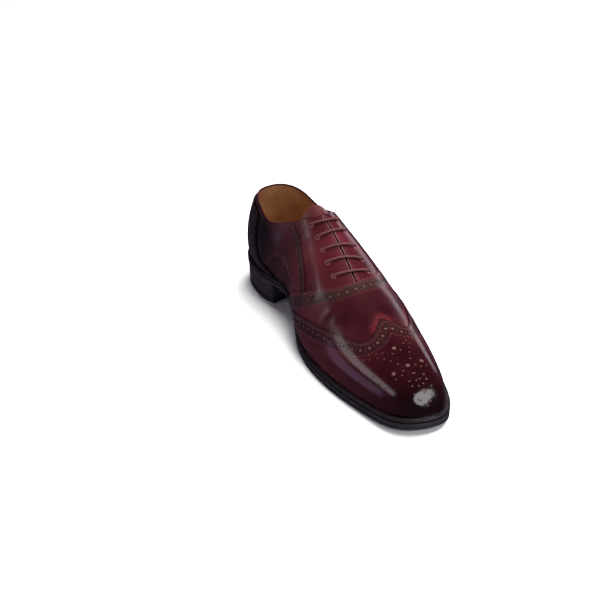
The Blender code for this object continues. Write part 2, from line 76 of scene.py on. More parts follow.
def feed(tree, taker, sockets):
    """Give a node's sockets their values, or join them to outputs of other nodes."""
    for socket, value in sockets.items():
        if isinstance(value, bpy.types.NodeSocket):
            tree.links.new(value, taker.inputs[socket])
        else:
            taker.inputs[socket].default_value = value


def node(tree, kind, sockets, **traits):
    """A new node with its traits set and its sockets fed."""
    made = tree.nodes.new("ShaderNode" + kind)
    for trait, value in traits.items():
        setattr(made, trait, value)
    feed(tree, made, sockets)
    return made


def ramp(tree, source, *stops):
    """Colours that change along a source, each stop a position and a colour."""
    made = node(tree, "ValToRGB", {"Fac": source})
    marks = made.color_ramp.elements
    marks[0].position, marks[-1].position = stops[0][0], stops[-1][0]
    for position, _ in stops[1:-1]:
        marks.new(position)
    for mark, (_, colour) in zip(marks, stops):
        mark.color = (*colour, 1.0)
    return made.outputs["Color"]


def blank_finish(name):
    """A new material, its node tree and its shader."""
    made = bpy.data.materials.new(name)
    made.use_nodes = True
    return made, made.node_tree, made.node_tree.nodes["Principled BSDF"]


paper, paper_tree, paper_shader = blank_finish("white_paper")
feed(paper_tree, paper_shader, {"Base Color": (0.93, 0.93, 0.94, 1.0), "Roughness": 0.8})
floor_mesh.materials.append(paper)

studio = bpy.data.worlds.new("studio")
studio.use_nodes = True
room = studio.node_tree
way = node(room, "TexCoord", {}).outputs["Generated"]
rise = node(room, "SeparateXYZ", {"Vector": way}).outputs["Z"]
plum = ramp(room, rise, (0.05, (0.055, 0.038, 0.062)), (0.35, (0.035, 0.035, 0.045)))
feed(room, room.nodes["Background"], {"Color": plum, "Strength": 1.0})
scene.world = studio


def soft_box(name, place, target, width, height, power, tint, glossy=True, shape="RECTANGLE"):
    """A studio light with a soft face, turned to a point of the shoe."""
    light = bpy.data.lights.new(name, "AREA")
    light.shape = shape
    light.size = width
    light.size_y = height
    light.energy = power
    light.color = tint
    lamp = bpy.data.objects.new(name, light)
    scene.collection.objects.link(lamp)
    lamp.location = place
    lamp.visible_glossy = glossy
    lamp.visible_camera = False
    lamp.rotation_mode = "QUATERNION"
    lamp.rotation_quaternion = (Vector(target) - Vector(place)).to_track_quat("-Z", "Y")


soft_box("top_box", (-0.2, 0.7, 1.6), (0.0, 0.0, 0.0), 1.5, 1.5, 95.0, (1.0, 1.0, 1.0), False)
soft_box("toe_box", (1.05, 0.14, 0.47), (0.13, -0.01, 0.03), 0.86, 0.86, 8.5, (1.0, 0.98, 1.0),
         shape="ELLIPSE")
soft_box("side_box", (-0.16, -1.09, 0.66), (0.06, -0.03, 0.04), 0.78, 0.34, 1.6,
         (1.0, 0.90, 0.95))
soft_box("low_box", (-0.40, -1.13, 0.10), (0.08, -0.03, 0.03), 0.46, 0.44, 0.50,
         (0.78, 0.55, 0.95))
soft_box("rim_box", (-0.85, 0.95, 0.12), (0.05, 0.02, 0.03), 1.40, 0.30, 1.5,
         (1.0, 0.92, 0.97))

# Upper
# The quarters and plain vamp of calf leather, pulled over the last in one shell and
# burnished dark at the back, with painted sheen lightening the throat and facings; the last's
# ribs run from the feather edge to the ridge.
LENGTH = 0.302
BALL_WIDTH = 0.104
HEEL_HEIGHT = 0.025
HEEL_DROP = 0.0025
HEEL_LENGTH = 0.075
TOE_SPRING = 0.0055
FLAT_START = 0.59 * LENGTH
FLAT_END = 0.71 * LENGTH
OUTSOLE = 0.0036
TREAD = 0.0030
WELT = 0.0030
LAST_RISE = 0.092
COLLAR_RISE = 0.063
SLOT = 0.0026
THROAT_TOP = 0.374 * LENGTH
THROAT_END = 0.581 * LENGTH
GAP = 0.0004
SKIN = 0.0010
ACROSS = 0.09
FOOT_BLEND = 0.08
OUTER_LEATHER = 0.0011
LINING = 0.0007
QUARTER_STEPS = 111
SLOT_STEPS = 41
FRONT_STEPS = 61
RISE_STEPS = 56
OUTLINE = np.array([
    (0.00, 0.000, 0.000), (0.02, 0.200, 0.190), (0.08, 0.320, 0.325), (0.15, 0.352, 0.362),
    (0.22, 0.335, 0.380), (0.30, 0.270, 0.410), (0.36, 0.290, 0.445), (0.42, 0.345, 0.490),
    (0.48, 0.415, 0.520), (0.55, 0.468, 0.522), (0.62, 0.487, 0.497), (0.70, 0.478, 0.455),
    (0.78, 0.443, 0.397), (0.86, 0.392, 0.318), (0.92, 0.345, 0.248), (0.97, 0.245, 0.162),
    (1.00, 0.000, 0.000)])
SHELF = np.array([
    (0.00, 0.024, 0.024), (0.10, 0.024, 0.024), (0.22, 0.017, 0.024), (0.33, 0.003, 0.019),
    (0.45, 0.014, 0.029), (0.60, 0.038, 0.038), (0.80, 0.044, 0.044), (1.00, 0.053, 0.053)])
RIBS = np.array([
    (0.00, 0.16, 0.42, 0.55, 0.16, 0.42, 0.55), (0.08, 0.16, 0.42, 0.55, 0.16, 0.42, 0.55),
    (0.20, 0.22, 0.40, 0.55, 0.16, 0.42, 0.55), (0.33, 0.40, 0.42, 0.50, 0.13, 0.42, 0.47),
    (0.45, 0.22, 0.42, 0.48, 0.09, 0.42, 0.47), (0.58, 0.10, 0.46, 0.48, 0.12, 0.46, 0.50),
    (0.72, 0.08, 0.52, 0.52, 0.08, 0.50, 0.52), (0.85, 0.06, 0.60, 0.58, 0.06, 0.58, 0.58),
    (0.95, 0.04, 0.66, 0.60, 0.04, 0.64, 0.60), (1.00, 0.03, 0.66, 0.60, 0.03, 0.66, 0.60)])
RIDGE = np.array([
    (0.00, 0.139, 1.000, 0.000), (0.08, 0.172, 0.989, 0.005), (0.20, 0.252, 0.957, 0.014),
    (0.33, 0.351, 0.908, 0.034), (0.42, 0.430, 0.832, 0.043), (0.50, 0.503, 0.750, 0.034),
    (0.58, 0.581, 0.647, 0.014), (0.66, 0.659, 0.554, 0.005), (0.74, 0.735, 0.462, 0.000),
    (0.82, 0.811, 0.386, 0.000), (0.90, 0.887, 0.321, 0.000), (0.96, 0.944, 0.234, 0.000),
    (1.00, 0.9818, 0.000, 0.000)])
COLLAR = np.array([
    (0.139, 1.000), (0.180, 0.945), (0.225, 0.875), (0.255, 0.862), (0.288, 0.925),
    (0.315, 1.010), (0.345, 1.130), (0.365, 1.225), (0.374, 1.255)])


def station(along):
    """Share of the way round half the sole (0 heel, 1 toe) of a place along it."""
    return np.arccos(1 - 2 * np.asarray(along, float)) / np.pi


def natural(knots, values):
    """Natural cubic spline through the knots, as a function."""
    x = np.asarray(knots, float)
    y = np.asarray(values, float)
    h = np.diff(x)
    count = len(x)
    system = np.eye(count)
    right = np.zeros(count)
    for i in range(1, count - 1):
        system[i, i - 1:i + 2] = h[i - 1], 2 * (h[i - 1] + h[i]), h[i]
        right[i] = 6 * ((y[i + 1] - y[i]) / h[i] - (y[i] - y[i - 1]) / h[i - 1])
    bend = np.linalg.solve(system, right)

    def curve(at):
        at = np.asarray(at, float)
        i = np.clip(np.searchsorted(x, at) - 1, 0, count - 2)
        a = x[i + 1] - at
        b = at - x[i]
        cubic = (bend[i] * a ** 3 + bend[i + 1] * b ** 3) / (6 * h[i])
        left = (y[i] / h[i] - bend[i] * h[i] / 6) * a
        return cubic + left + (y[i + 1] / h[i] - bend[i + 1] * h[i] / 6) * b
    return curve


def around(along, medial, lateral):
    """Closed curve round the shoe; medial places are negative, lateral ones positive."""
    s = station(along)
    knots = np.concatenate([-s[::-1], s[1:]])
    values = np.concatenate([medial[::-1], lateral[1:]])
    knots = np.concatenate([knots[-5:-1] - 2, knots, knots[1:5] + 2])
    values = np.concatenate([values[-5:-1], values, values[1:5]])
    return natural(knots, values)


def even(along, values):
    """Curve along the ridge that is level where it starts at the heel."""
    s = station(along)
    return natural(np.concatenate([-s[4:0:-1], s]), np.concatenate([values[4:0:-1], values]))


sole_side = around(OUTLINE[:, 0], -OUTLINE[:, 1], OUTLINE[:, 2])
shelf = around(SHELF[:, 0], SHELF[:, 1], SHELF[:, 2])
bulge_curve = around(RIBS[:, 0], RIBS[:, 1], RIBS[:, 4])
shoulder_curve = around(RIBS[:, 0], RIBS[:, 2], RIBS[:, 5])
crown_curve = around(RIBS[:, 0], RIBS[:, 3], RIBS[:, 6])
ridge_place = even(RIDGE[:, 0], RIDGE[:, 1])
ridge_rise = even(RIDGE[:, 0], RIDGE[:, 2])
ridge_side = even(RIDGE[:, 0], RIDGE[:, 3])
collar_curve = natural(COLLAR[:, 0], COLLAR[:, 1])


def sole_edge(c):
    """Plan of the sole's edge at place c round it."""
    x = LENGTH * (1 - np.cos(np.pi * np.asarray(c, float))) / 2
    return np.stack([x, BALL_WIDTH * sole_side(c)], -1)


def outward(c):
    """Unit vector square to the sole's edge, in plan."""
    run = sole_edge(np.asarray(c) + 1e-3) - sole_edge(np.asarray(c) - 1e-3)
    side = np.stack([-run[..., 1], run[..., 0]], -1)
    return side / np.linalg.norm(side, axis=-1, keepdims=True)


def inset_edge(c, inset):
    """Sole's edge moved inwards."""
    return sole_edge(c) - outward(c) * np.asarray(inset, float)[..., None]


def underside(x):
    """Height of the outsole's underside: heel seat, arch, flat tread and toe spring."""
    x = np.asarray(x, float)
    slope = -HEEL_DROP / HEEL_LENGTH
    front = HEEL_HEIGHT - HEEL_DROP
    span = FLAT_START - HEEL_LENGTH
    t = np.clip((x - HEEL_LENGTH) / span, 0, 1)
    fall = 2 * t ** 3 - 3 * t ** 2 + 1
    arch = TREAD + (front - TREAD) * fall + slope * span * (t ** 3 - 2 * t ** 2 + t)
    rise = np.clip((x - FLAT_END) / (LENGTH - FLAT_END), 0, None)
    toe = TREAD + TOE_SPRING * rise ** 1.9
    seat = HEEL_HEIGHT + slope * x
    return np.where(x < HEEL_LENGTH, seat, np.where(x < FLAT_START, arch, toe))


def welt_top(x):
    """Height of the welt's upper face."""
    return underside(x) + OUTSOLE + WELT


def feather(c):
    """Edge where the upper meets the welt."""
    plan = inset_edge(c, BALL_WIDTH * shelf(c))
    return np.concatenate([plan, welt_top(plan[..., :1]) + GAP], -1)


def ridge(s):
    """Top line of the last."""
    x = LENGTH * ridge_place(s)
    z = welt_top(x) + GAP + LAST_RISE * ridge_rise(s)
    return np.stack([x, BALL_WIDTH * ridge_side(s), z], -1)


def ridge_slope(s):
    """Steepness of the ridge."""
    a = ridge(np.maximum(s - 1e-3, 0))
    b = ridge(np.minimum(s + 1e-3, 1))
    return np.clip((b[..., 2] - a[..., 2]) / np.maximum(b[..., 0] - a[..., 0], 1e-9), -3, 3)


def last(c, r):
    """Point of the last on the rib at c, from the feather edge (0) to the ridge (1)."""
    c, r = np.broadcast_arrays(np.asarray(c, float), np.asarray(r, float))
    s = np.abs(c)
    foot = feather(c)
    top = ridge(s)
    across = foot[..., :2] - top[..., :2]
    width = np.linalg.norm(across, axis=-1)
    sideways = np.stack([0 * c, np.where(c < 0, -1.0, 1.0)], -1)
    tip = width < 1e-7
    across = np.where(tip[..., None], sideways, across / np.maximum(width, 1e-7)[..., None])
    rise = top[..., 2] - foot[..., 2]
    bulge = foot.copy()
    bulge[..., :2] += outward(c) * (bulge_curve(c) * width)[..., None]
    bulge[..., 2] += shoulder_curve(c) * rise
    crown = top.copy()
    reach = crown_curve(c) * width
    crown[..., :2] += across * reach[..., None]
    crown[..., 2] += ridge_slope(s) * across[..., 0] * reach
    r = r[..., None]
    low = foot * (1 - r) ** 3 + 3 * bulge * r * (1 - r) ** 2
    return low + 3 * crown * r ** 2 * (1 - r) + top * r ** 3


def facing_out(c, r):
    """Unit vector square to the last's surface."""
    c, r = np.broadcast_arrays(np.asarray(c, float), np.asarray(r, float))
    step = 2e-3
    limit = 1 - 2 * step
    near = np.clip(c, -limit, limit)
    up = last(near, np.minimum(r + step, 1)) - last(near, np.maximum(r - step, 0))
    run = last(near + step, r) - last(near - step, r)
    square = np.cross(up, run)
    square /= np.maximum(np.linalg.norm(square, axis=-1, keepdims=True), 1e-12)
    slope = ridge_slope(np.abs(near))
    crest = np.stack([-slope, 0 * slope, 0 * slope + 1], -1)
    crest /= np.linalg.norm(crest, axis=-1, keepdims=True)
    square = np.where((r > 1 - step)[..., None], crest, square)
    square = np.where((np.abs(c) > limit)[..., None], [1.0, 0.0, 0.0], square)
    square[..., 2] *= np.clip(r / FOOT_BLEND, 0, 1)
    return square / np.linalg.norm(square, axis=-1, keepdims=True)


STATIONS = np.linspace(0, 1, 2001)
PLACES = LENGTH * ridge_place(STATIONS)
SOLE_LOOP = sole_edge(np.linspace(-1, 1, 801))
MIDDLE = np.array([(SOLE_LOOP[:, i].min() + SOLE_LOOP[:, i].max()) / 2 for i in (0, 1)])

# Creases of wear: place and spread at the start and at the end, width, height at the middle
CREASES = (
    (0.600, -0.62, 0.612, -0.18, 0.0035, -0.00035), (0.622, -0.55, 0.640, 0.25, 0.0045, 0.00025),
    (0.642, -0.48, 0.656, 0.30, 0.0035, -0.00030), (0.600, 0.20, 0.590, 0.62, 0.0035, -0.00035),
    (0.400, -0.33, 0.550, -0.42, 0.0080, 0.00050), (0.400, 0.33, 0.550, 0.42, 0.0080, 0.00050),
    (0.300, -0.55, 0.360, -0.88, 0.0060, -0.00050), (0.340, -0.50, 0.410, -0.86, 0.0060, 0.00040),
    (0.240, -0.60, 0.270, -0.85, 0.0050, -0.00040), (0.300, 0.55, 0.360, 0.88, 0.0060, -0.00050),
    (0.340, 0.50, 0.410, 0.86, 0.0060, 0.00040))


def creased(c, r):
    """Height of the soft troughs and ridges that flexing leaves, each along its own line."""
    x = LENGTH * ridge_place(np.abs(c))
    y = ACROSS * np.where(c < 0, -1.0, 1.0) * (1 - r)
    height = np.zeros_like(x)
    for start, start_spread, end, end_spread, width, push in CREASES:
        run_x, run_y = LENGTH * (end - start), ACROSS * (end_spread - start_spread)
        from_x, from_y = x - LENGTH * start, y - ACROSS * start_spread
        share = (from_x * run_x + from_y * run_y) / (run_x ** 2 + run_y ** 2)
        share = np.clip(share, 0, 1)
        away = (from_x - share * run_x) ** 2 + (from_y - share * run_y) ** 2
        height += push * (1 - (2 * share - 1) ** 4) * np.exp(-away / width ** 2)
    return height * np.clip(r / 0.1, 0, 1)


def skin(c, r, height):
    """Point at a height over the creased leather's place on the last, from the sole's middle."""
    c, r = np.broadcast_arrays(np.asarray(c, float), np.asarray(r, float))
    height = np.asarray(height, float) + creased(c, r)
    points = last(c, r) + facing_out(c, r) * height[..., None]
    points[..., :2] -= MIDDLE
    return points


def ridge_station(x):
    """Rib whose top stands at x along the ridge."""
    return np.interp(x, PLACES, STATIONS)


def rise_share(c, height):
    """How far up its rib the last reaches a height over its own foot."""
    low = np.zeros_like(c)
    high = np.ones_like(c)
    foot = feather(c)[..., 2]
    for _ in range(30):
        middle = (low + high) / 2
        under = last(c, middle)[..., 2] - foot < height
        low = np.where(under, middle, low)
        high = np.where(under, high, middle)
    return (low + high) / 2


def top_share(c):
    """Upper edge of the upper on its rib: collar, then slot, then the closed ridge."""
    c = np.asarray(c, float)
    s = np.abs(c)
    x = LENGTH * ridge_place(s)
    span = np.linalg.norm(feather(c)[..., :2] - ridge(s)[..., :2], axis=-1)
    slot = 1 - SLOT / 2 / (3 * crown_curve(c) * span)
    collar = rise_share(c, COLLAR_RISE * collar_curve(np.minimum(x / LENGTH, COLLAR[-1, 0])))
    top = np.where(x < THROAT_END - 1e-6, slot, 1.0)
    return np.where(x < THROAT_TOP - 1e-6, np.minimum(collar, slot), top)


def mixed(tree, share, under, over, way="MIX"):
    """One colour laid over another."""
    return node(tree, "Mix", {0: share, 6: under, 7: over}, data_type="RGBA",
                blend_type=way).outputs[2]


def relief(tree, height, strength, distance, under=None):
    """Bump of a height, over another bump if there is one."""
    sockets = {"Height": height, "Strength": strength, "Distance": distance}
    if under is not None:
        sockets["Normal"] = under
    return node(tree, "Bump", sockets).outputs["Normal"]


BURNISH_AND_SHEEN_PLACES = (0.20, 0.42, 0.72, 0.98)


def leather_finish(name, dark, light, depth, gloss=0.3, grain=1.0):
    """Polished calf: two tones of cream worked in by hand, burnished by depth from heel to toe; a
    depth above one is painted sheen.
    """
    made, tree, shader = blank_finish(name)
    at = node(tree, "TexCoord", {}).outputs["Object"]
    clouds = node(tree, "TexNoise", {"Vector": at, "Scale": 26.0, "Detail": 2.0}).outputs["Fac"]
    along = node(tree, "SeparateXYZ", {"Vector": at}).outputs["X"]
    share = node(tree, "MapRange", {"Value": along, "From Min": -LENGTH / 2,
                                    "From Max": LENGTH / 2}).outputs["Result"]
    # Tone along the shoe: burnishing darkens it, and any depth above one paints a lighter sheen.
    burnish_and_sheen = ramp(tree, share, *((place, (tone,) * 3)
                                  for place, tone in zip(BURNISH_AND_SHEEN_PLACES, depth)))
    pores = node(tree, "TexVoronoi", {"Vector": at, "Scale": 1400.0}).outputs["Distance"]
    folds = node(tree, "TexNoise", {"Vector": at, "Scale": 320.0, "Detail": 4.0}).outputs["Fac"]
    wear = node(tree, "MapRange", {"Value": clouds, "From Min": 0.3, "From Max": 0.7,
                                   "To Min": gloss - 0.05, "To Max": gloss + 0.08})
    fine = relief(tree, pores, 0.03 * grain, 0.0003)
    feed(tree, shader, {
        "Base Color": mixed(tree, 1.0, ramp(tree, clouds, (0.30, dark), (0.70, light)), burnish_and_sheen,
                            "MULTIPLY"),
        "Roughness": wear.outputs["Result"],
        "Normal": relief(tree, folds, 0.05 * grain, 0.0006, fine),
        "Coat Weight": 0.25, "Coat Roughness": 0.10, "Specular IOR Level": 0.5})
    return made


def finished(name, mesh_data, finishes, replaced=(), crease=0.7):
    """Put a finished mesh on the shoe."""
    mesh = bpy.data.meshes.new(name)
    mesh_data.to_mesh(mesh)
    mesh_data.free()
    mesh.shade_smooth()
    mesh.set_sharp_from_angle(angle=crease)
    piece = bpy.data.objects.new(name, mesh)
    scene.collection.objects.link(piece)
    for finish in finishes:
        mesh.materials.append(finish)
    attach(piece, "root")
    if replaced:
        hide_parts(*replaced)
    return piece


def new_verts(made):
    """Vertices among what an operator made."""
    return [item for item in made["geom"] if isinstance(item, bmesh.types.BMVert)]


def give_thickness(flat, top, thickness):
    """Turn a flat cut sheet into a closed one, its upper face at a height."""
    below = list(flat.faces)
    raised = bmesh.ops.extrude_face_region(flat, geom=below, use_keep_orig=True)
    for vert in flat.verts:
        vert.co.z = top - thickness
    for vert in new_verts(raised):
        vert.co.z = top
    bmesh.ops.reverse_faces(flat, faces=below)


def pull_over(flat, lay):
    """Pull flat work over its form, and merge what comes together there."""
    corners = np.array([vert.co for vert in flat.verts])
    for vert, point in zip(flat.verts, lay(corners)):
        vert.co = point
    bmesh.ops.remove_doubles(flat, verts=flat.verts, dist=1e-6)
    bmesh.ops.dissolve_degenerate(flat, edges=flat.edges, dist=1e-7)


def lasted_shell(top_height, thickness, below_collar, below_slot):
    """Shell over the whole last: a flat grid, given its thickness and pulled over the ribs."""
    throat = ridge_station(THROAT_TOP)
    vamp = ridge_station(THROAT_END)
    half = np.concatenate([throat * (1 - np.linspace(1, 0, QUARTER_STEPS) ** 1.35),
                           np.linspace(throat, vamp, SLOT_STEPS)[1:],
                           np.linspace(vamp, 1, FRONT_STEPS)[1:]])
    turns = np.concatenate([-half[::-1], half[1:]])
    lowered = np.where(np.abs(turns) < throat - 1e-4, below_collar, below_slot)
    tops = top_share(turns) - np.where(np.abs(turns) > vamp, 0.0, lowered)
    shell = bmesh.new()
    bmesh.ops.create_grid(shell, x_segments=len(turns) - 1, y_segments=RISE_STEPS, size=1.0)
    give_thickness(shell, top_height, thickness)

    def lay(flat):
        column = np.rint((flat[:, 0] + 1) / 2 * (len(turns) - 1)).astype(int)
        return skin(turns[column], (1 - flat[:, 1]) / 2 * tops[column], flat[:, 2])
    pull_over(shell, lay)
    return shell


# Burgundy: heel burnished near black and toe darker; the lift above one at the throat and facings
# is painted sheen from overhead light.
burgundy = leather_finish("burgundy_calf", (0.024, 0.0030, 0.0050), (0.060, 0.0075, 0.0120),
                          (0.08, 1.45, 0.60, 0.50), gloss=0.28)
finished("quarters", lasted_shell(-SKIN, OUTER_LEATHER, 0.0, 0.0), [burgundy],
         ["upper"])

# Lining
# Thin tan leather glued inside the quarters and vamp, its edge just under the collar's
# folded edge and a little back from the slot.


def clouded_finish(name, dark, light, roughness, scale, detail, bump, depth):
    """A matt material whose two tones and whose relief follow the same clouds."""
    made, tree, shader = blank_finish(name)
    at = node(tree, "TexCoord", {}).outputs["Object"]
    clouds = node(tree, "TexNoise", {"Vector": at, "Scale": scale,
                                     "Detail": detail}).outputs["Fac"]
    feed(tree, shader, {"Base Color": ramp(tree, clouds, (0.3, dark), (0.7, light)),
                        "Normal": relief(tree, clouds, bump, depth), "Roughness": roughness})
    return made


tan = clouded_finish("tan_lining", (0.30, 0.14, 0.065), (0.46, 0.25, 0.125), 0.55, 60.0, 6.0,
                     0.15, 0.0005)
UNDER_COLLAR = 0.006
BACK_FROM_SLOT = 0.05
finished("lining", lasted_shell(-SKIN - OUTER_LEATHER, LINING, UNDER_COLLAR, BACK_FROM_SLOT),
         [tan])

# Wing cap
# The toe cap with two wings, cut with a gimped edge, punched along it and on its toe with
# a medallion, and stitched over the vamp. Each sheet is first drawn flat: ALONG the sole
# from heel to toe, and ACROSS from the ridge to the feather edge.
ALONG = 0.45
CAP_OVERLAY = 0.0019
WING = np.array([
    (0.00, 0.715), (0.10, 0.733), (0.20, 0.750), (0.30, 0.752), (0.40, 0.731), (0.47, 0.697),
    (0.54, 0.660), (0.62, 0.598), (0.70, 0.538), (0.80, 0.486), (0.92, 0.440), (1.00, 0.418)])
wing_curve = natural(WING[:, 0], WING[:, 1])
BAND = 0.0125
TOOTH = 0.0028
TOOTH_DEPTH = 0.0010
POCKET = 0.0004
BIG_PUNCH = 0.0013
SMALL_PUNCH = 0.00065
PUNCH_PITCH = 0.0078
ROW_INSET = 0.0070
EDGE_SEAMS = (0.0022, 0.0036)
LARGEST_STEP = 0.0015


def fore_lay(flat):
    """Place of a flat pattern of the forepart, which crosses the ridge, on the last."""
    s = np.clip(flat[..., 0] / ALONG, 0, 1)
    spread = flat[..., 1] / ACROSS
    return skin(np.where(spread < 0, -1.0, 1.0) * s, 1 - np.abs(spread), flat[..., 2])


def heel_lay(flat):
    """Place of a flat pattern of the rear, which goes round the heel, on the last."""
    return skin(flat[..., 0] / ALONG, 1 - flat[..., 1] / ACROSS, flat[..., 2])


def laid(lay, line, height=0.0):
    """A flat line on its form."""
    return lay(np.column_stack([line, np.full(len(line), height)]))


def surface(lay, line):
    """Place, the two ways of the pattern and the way out of the leather, along a flat line."""
    reach = 1e-4
    across = (laid(lay, line + [reach, 0]) - laid(lay, line - [reach, 0])) / (2 * reach)
    up = (laid(lay, line + [0, reach]) - laid(lay, line - [0, reach])) / (2 * reach)
    out = np.cross(across, up)
    return laid(lay, line), across, up, out / np.linalg.norm(out, axis=-1, keepdims=True)


def moved(lay, line, moves):
    """Flat points moved by small steps that are given in space."""
    _, u, v, _ = surface(lay, line)
    uu, uv, vv = (u * u).sum(-1), (u * v).sum(-1), (v * v).sum(-1)
    um, vm = (u * moves).sum(-1), (v * moves).sum(-1)
    size = uu * vv - uv ** 2
    return line + np.stack([(vv * um - uv * vm) / size, (uu * vm - uv * um) / size], -1)


def flat_line(places, spread):
    """Flat line on the forepart, by place along the ridge and spread (1 at the feather edge)."""
    return np.stack([ALONG * ridge_station(LENGTH * places), ACROSS * spread], -1)


def search_tree(points):
    """Tree that finds the nearest of some points."""
    tree = kdtree.KDTree(len(points))
    for i, point in enumerate(points):
        tree.insert(Vector(point), i)
    tree.balance()
    return tree


def ways(lay, line):
    """Unit vectors along a flat line and to its left, on the leather, and out of it."""
    place, _, _, out = surface(lay, line)
    run = np.gradient(place, axis=0)
    run /= np.linalg.norm(run, axis=-1, keepdims=True)
    left = np.cross(out, run)
    return run, left / np.linalg.norm(left, axis=-1, keepdims=True), out


def spaced(lay, line, pitch):
    """The same line with its points a pitch apart on the leather."""
    place = laid(lay, line)
    gone = np.concatenate([[0], np.cumsum(np.linalg.norm(np.diff(place, axis=0), axis=-1))])
    at = np.linspace(0, gone[-1], max(2, int(round(gone[-1] / pitch)) + 1))
    return np.stack([np.interp(at, gone, line[:, 0]), np.interp(at, gone, line[:, 1])], -1)


def beside(lay, line, distance):
    """Line that runs beside another on the leather, to its left if the distance is positive."""
    steps = max(1, int(np.ceil(abs(distance) / LARGEST_STEP)))
    path = line.copy()
    for _ in range(steps):
        path = moved(lay, path, ways(lay, path)[1] * distance / steps)
    tree = search_tree(laid(lay, line))
    clear = [tree.find(Vector(point))[2] > 0.96 * abs(distance) for point in laid(lay, path)]
    return path[np.array(clear)]


def gimped(lay, line, tooth=TOOTH, depth=TOOTH_DEPTH):
    """A line cut in teeth, as the gimping iron leaves the edge of a leather."""
    fine = spaced(lay, line, tooth / 6)
    teeth = np.abs((np.arange(len(fine)) / 6 + 0.5) % 1 - 0.5) * 2
    return moved(lay, fine, ways(lay, fine)[1] * (depth * (1 - 2 * teeth))[:, None])


def punch(lay, centres, radius, sides=10):
    """Rings of round holes punched at flat places."""
    centres = np.asarray(centres, float).reshape(-1, 2)
    rings = []
    _, u, _, out = surface(lay, centres)
    u = u / np.linalg.norm(u, axis=-1, keepdims=True)
    v = np.cross(out, u)
    for turn in np.linspace(0, 2 * np.pi, sides, endpoint=False):
        rings.append(moved(lay, centres, radius * (math.cos(turn) * u + math.sin(turn) * v)))
    return list(np.stack(rings, 1))


def punched_row(lay, line, pitch=PUNCH_PITCH, big=BIG_PUNCH, small=SMALL_PUNCH, spread=0.0011):
    """Brogue row: big holes a pitch apart with a pair of small ones between each two."""
    places = spaced(lay, line, pitch / 2)
    _, left, _ = ways(lay, places)
    pairs = [moved(lay, places[1::2], side * spread * left[1::2]) for side in (-1, 1)]
    return punch(lay, places[::2], big) + punch(lay, np.concatenate(pairs), small, 8)


def turned_left(ring):
    """A closed flat line in counter-clockwise order."""
    after = np.roll(ring, -1, axis=0)
    area = (ring[:, 0] * after[:, 1] - after[:, 0] * ring[:, 1]).sum()
    return ring if area > 0 else ring[::-1]


def mark(mesh_data, name, lay, line):
    """Note on every corner how far it lies from a line, for the finish to read."""
    layer = mesh_data.verts.layers.float.new(name)
    tree = search_tree(laid(lay, line))
    for vert in mesh_data.verts:
        vert[layer] = tree.find(vert.co)[2]
    return mesh_data


def cut_sheet(lay, outline, holes, top, thickness, grid=0.0016):
    """Sheet cut flat with its punched holes, given its thickness and pulled over the last."""
    rings = [turned_left(ring) for ring in [outline] + list(holes)]
    points = np.concatenate(rings)
    starts = np.cumsum([0] + [len(ring) for ring in rings])
    loops = [list(range(starts[i], starts[i + 1])) for i in range(len(rings))]
    tree = search_tree(np.column_stack([points, np.zeros(len(points))]))
    low, high = outline.min(0), outline.max(0)
    columns = np.arange(low[0], high[0], grid)
    rows = np.arange(low[1], high[1], grid)
    inner = [(x + grid / 2 * (j % 2), y) for x in columns for j, y in enumerate(rows)
             if tree.find((x + grid / 2 * (j % 2), y, 0.0))[2] > 0.45 * grid]
    corners = [Vector(point) for point in [*points, *inner]]
    made, _, faces, _, _, owners = delaunay_2d_cdt(corners, [], loops, 1, 1e-7)
    flat = bmesh.new()
    hole_face = flat.faces.layers.int.new("punched")
    verts = [flat.verts.new((*corner, 0.0)) for corner in made]
    for face, owner in zip(faces, owners):
        if len(set(face)) < 3 or 0 not in owner:
            continue
        new = flat.faces.new([verts[i] for i in face])
        new[hole_face] = 1 if max(owner) > 0 else 0
    bmesh.ops.delete(flat, geom=[v for v in flat.verts if not v.link_faces], context="VERTS")
    flat.normal_update()
    turned = [face for face in flat.faces if face.normal.z < 0]
    if turned:
        bmesh.ops.reverse_faces(flat, faces=turned)
    give_thickness(flat, top, thickness)
    floors = [face for face in flat.faces
              if face[hole_face] and all(abs(vert.co.z - top) < 1e-7 for vert in face.verts)]
    if floors:
        sunk = bmesh.ops.extrude_face_region(flat, geom=floors)
        bmesh.ops.delete(flat, geom=[face for face in floors if face.is_valid],
                         context="FACES_ONLY")
        for vert in new_verts(sunk):
            vert.co.z = top - POCKET
        for item in sunk["geom"]:
            if isinstance(item, bmesh.types.BMFace):
                item.material_index = 1
    pull_over(flat, lay)
    return flat


def seam(lay, lines, height, pitch=0.0019, length=0.00135, width=0.00035):
    """Row of tight stitches along each flat line, standing on the leather at a height."""
    stitch = bmesh.new()
    bmesh.ops.create_uvsphere(stitch, u_segments=6, v_segments=4, radius=1.0)
    shape = np.array([vert.co for vert in stitch.verts])
    sides = [[vert.index for vert in face.verts] for face in stitch.faces]
    stitch.free()
    corners = []
    faces = []
    for line in lines:
        ends = spaced(lay, line, pitch)
        middles = (ends[1:] + ends[:-1]) / 2
        if len(middles) < 2:
            continue
        run, left, out = ways(lay, middles)
        for place, *turn in zip(laid(lay, middles, height), run, left, out):
            faces += [[i + len(corners) * len(shape) for i in side] for side in sides]
            corners.append(place + shape * (length / 2, width / 2, width / 2) @ np.array(turn))
    rows = bpy.data.meshes.new("stitches")
    rows.from_pydata(np.concatenate(corners), [], faces)
    thread = bmesh.new()
    thread.from_mesh(rows)
    bpy.data.meshes.remove(rows)
    return thread


def plain_finish(name, colour, roughness, scale=0.0, bump=0.0, specular=0.5):
    """A plain material; with a scale, a little uneven in its colour and face."""
    if scale:
        dark, light = (tuple(tone * part for part in colour) for tone in (0.7, 1.3))
        made = clouded_finish(name, dark, light, roughness, scale, 5.0, bump, 0.0004)
    else:
        made, tree, shader = blank_finish(name)
        feed(tree, shader, {"Base Color": (*colour, 1.0), "Roughness": roughness})
    made.node_tree.nodes["Principled BSDF"].inputs["Specular IOR Level"].default_value = specular
    return made


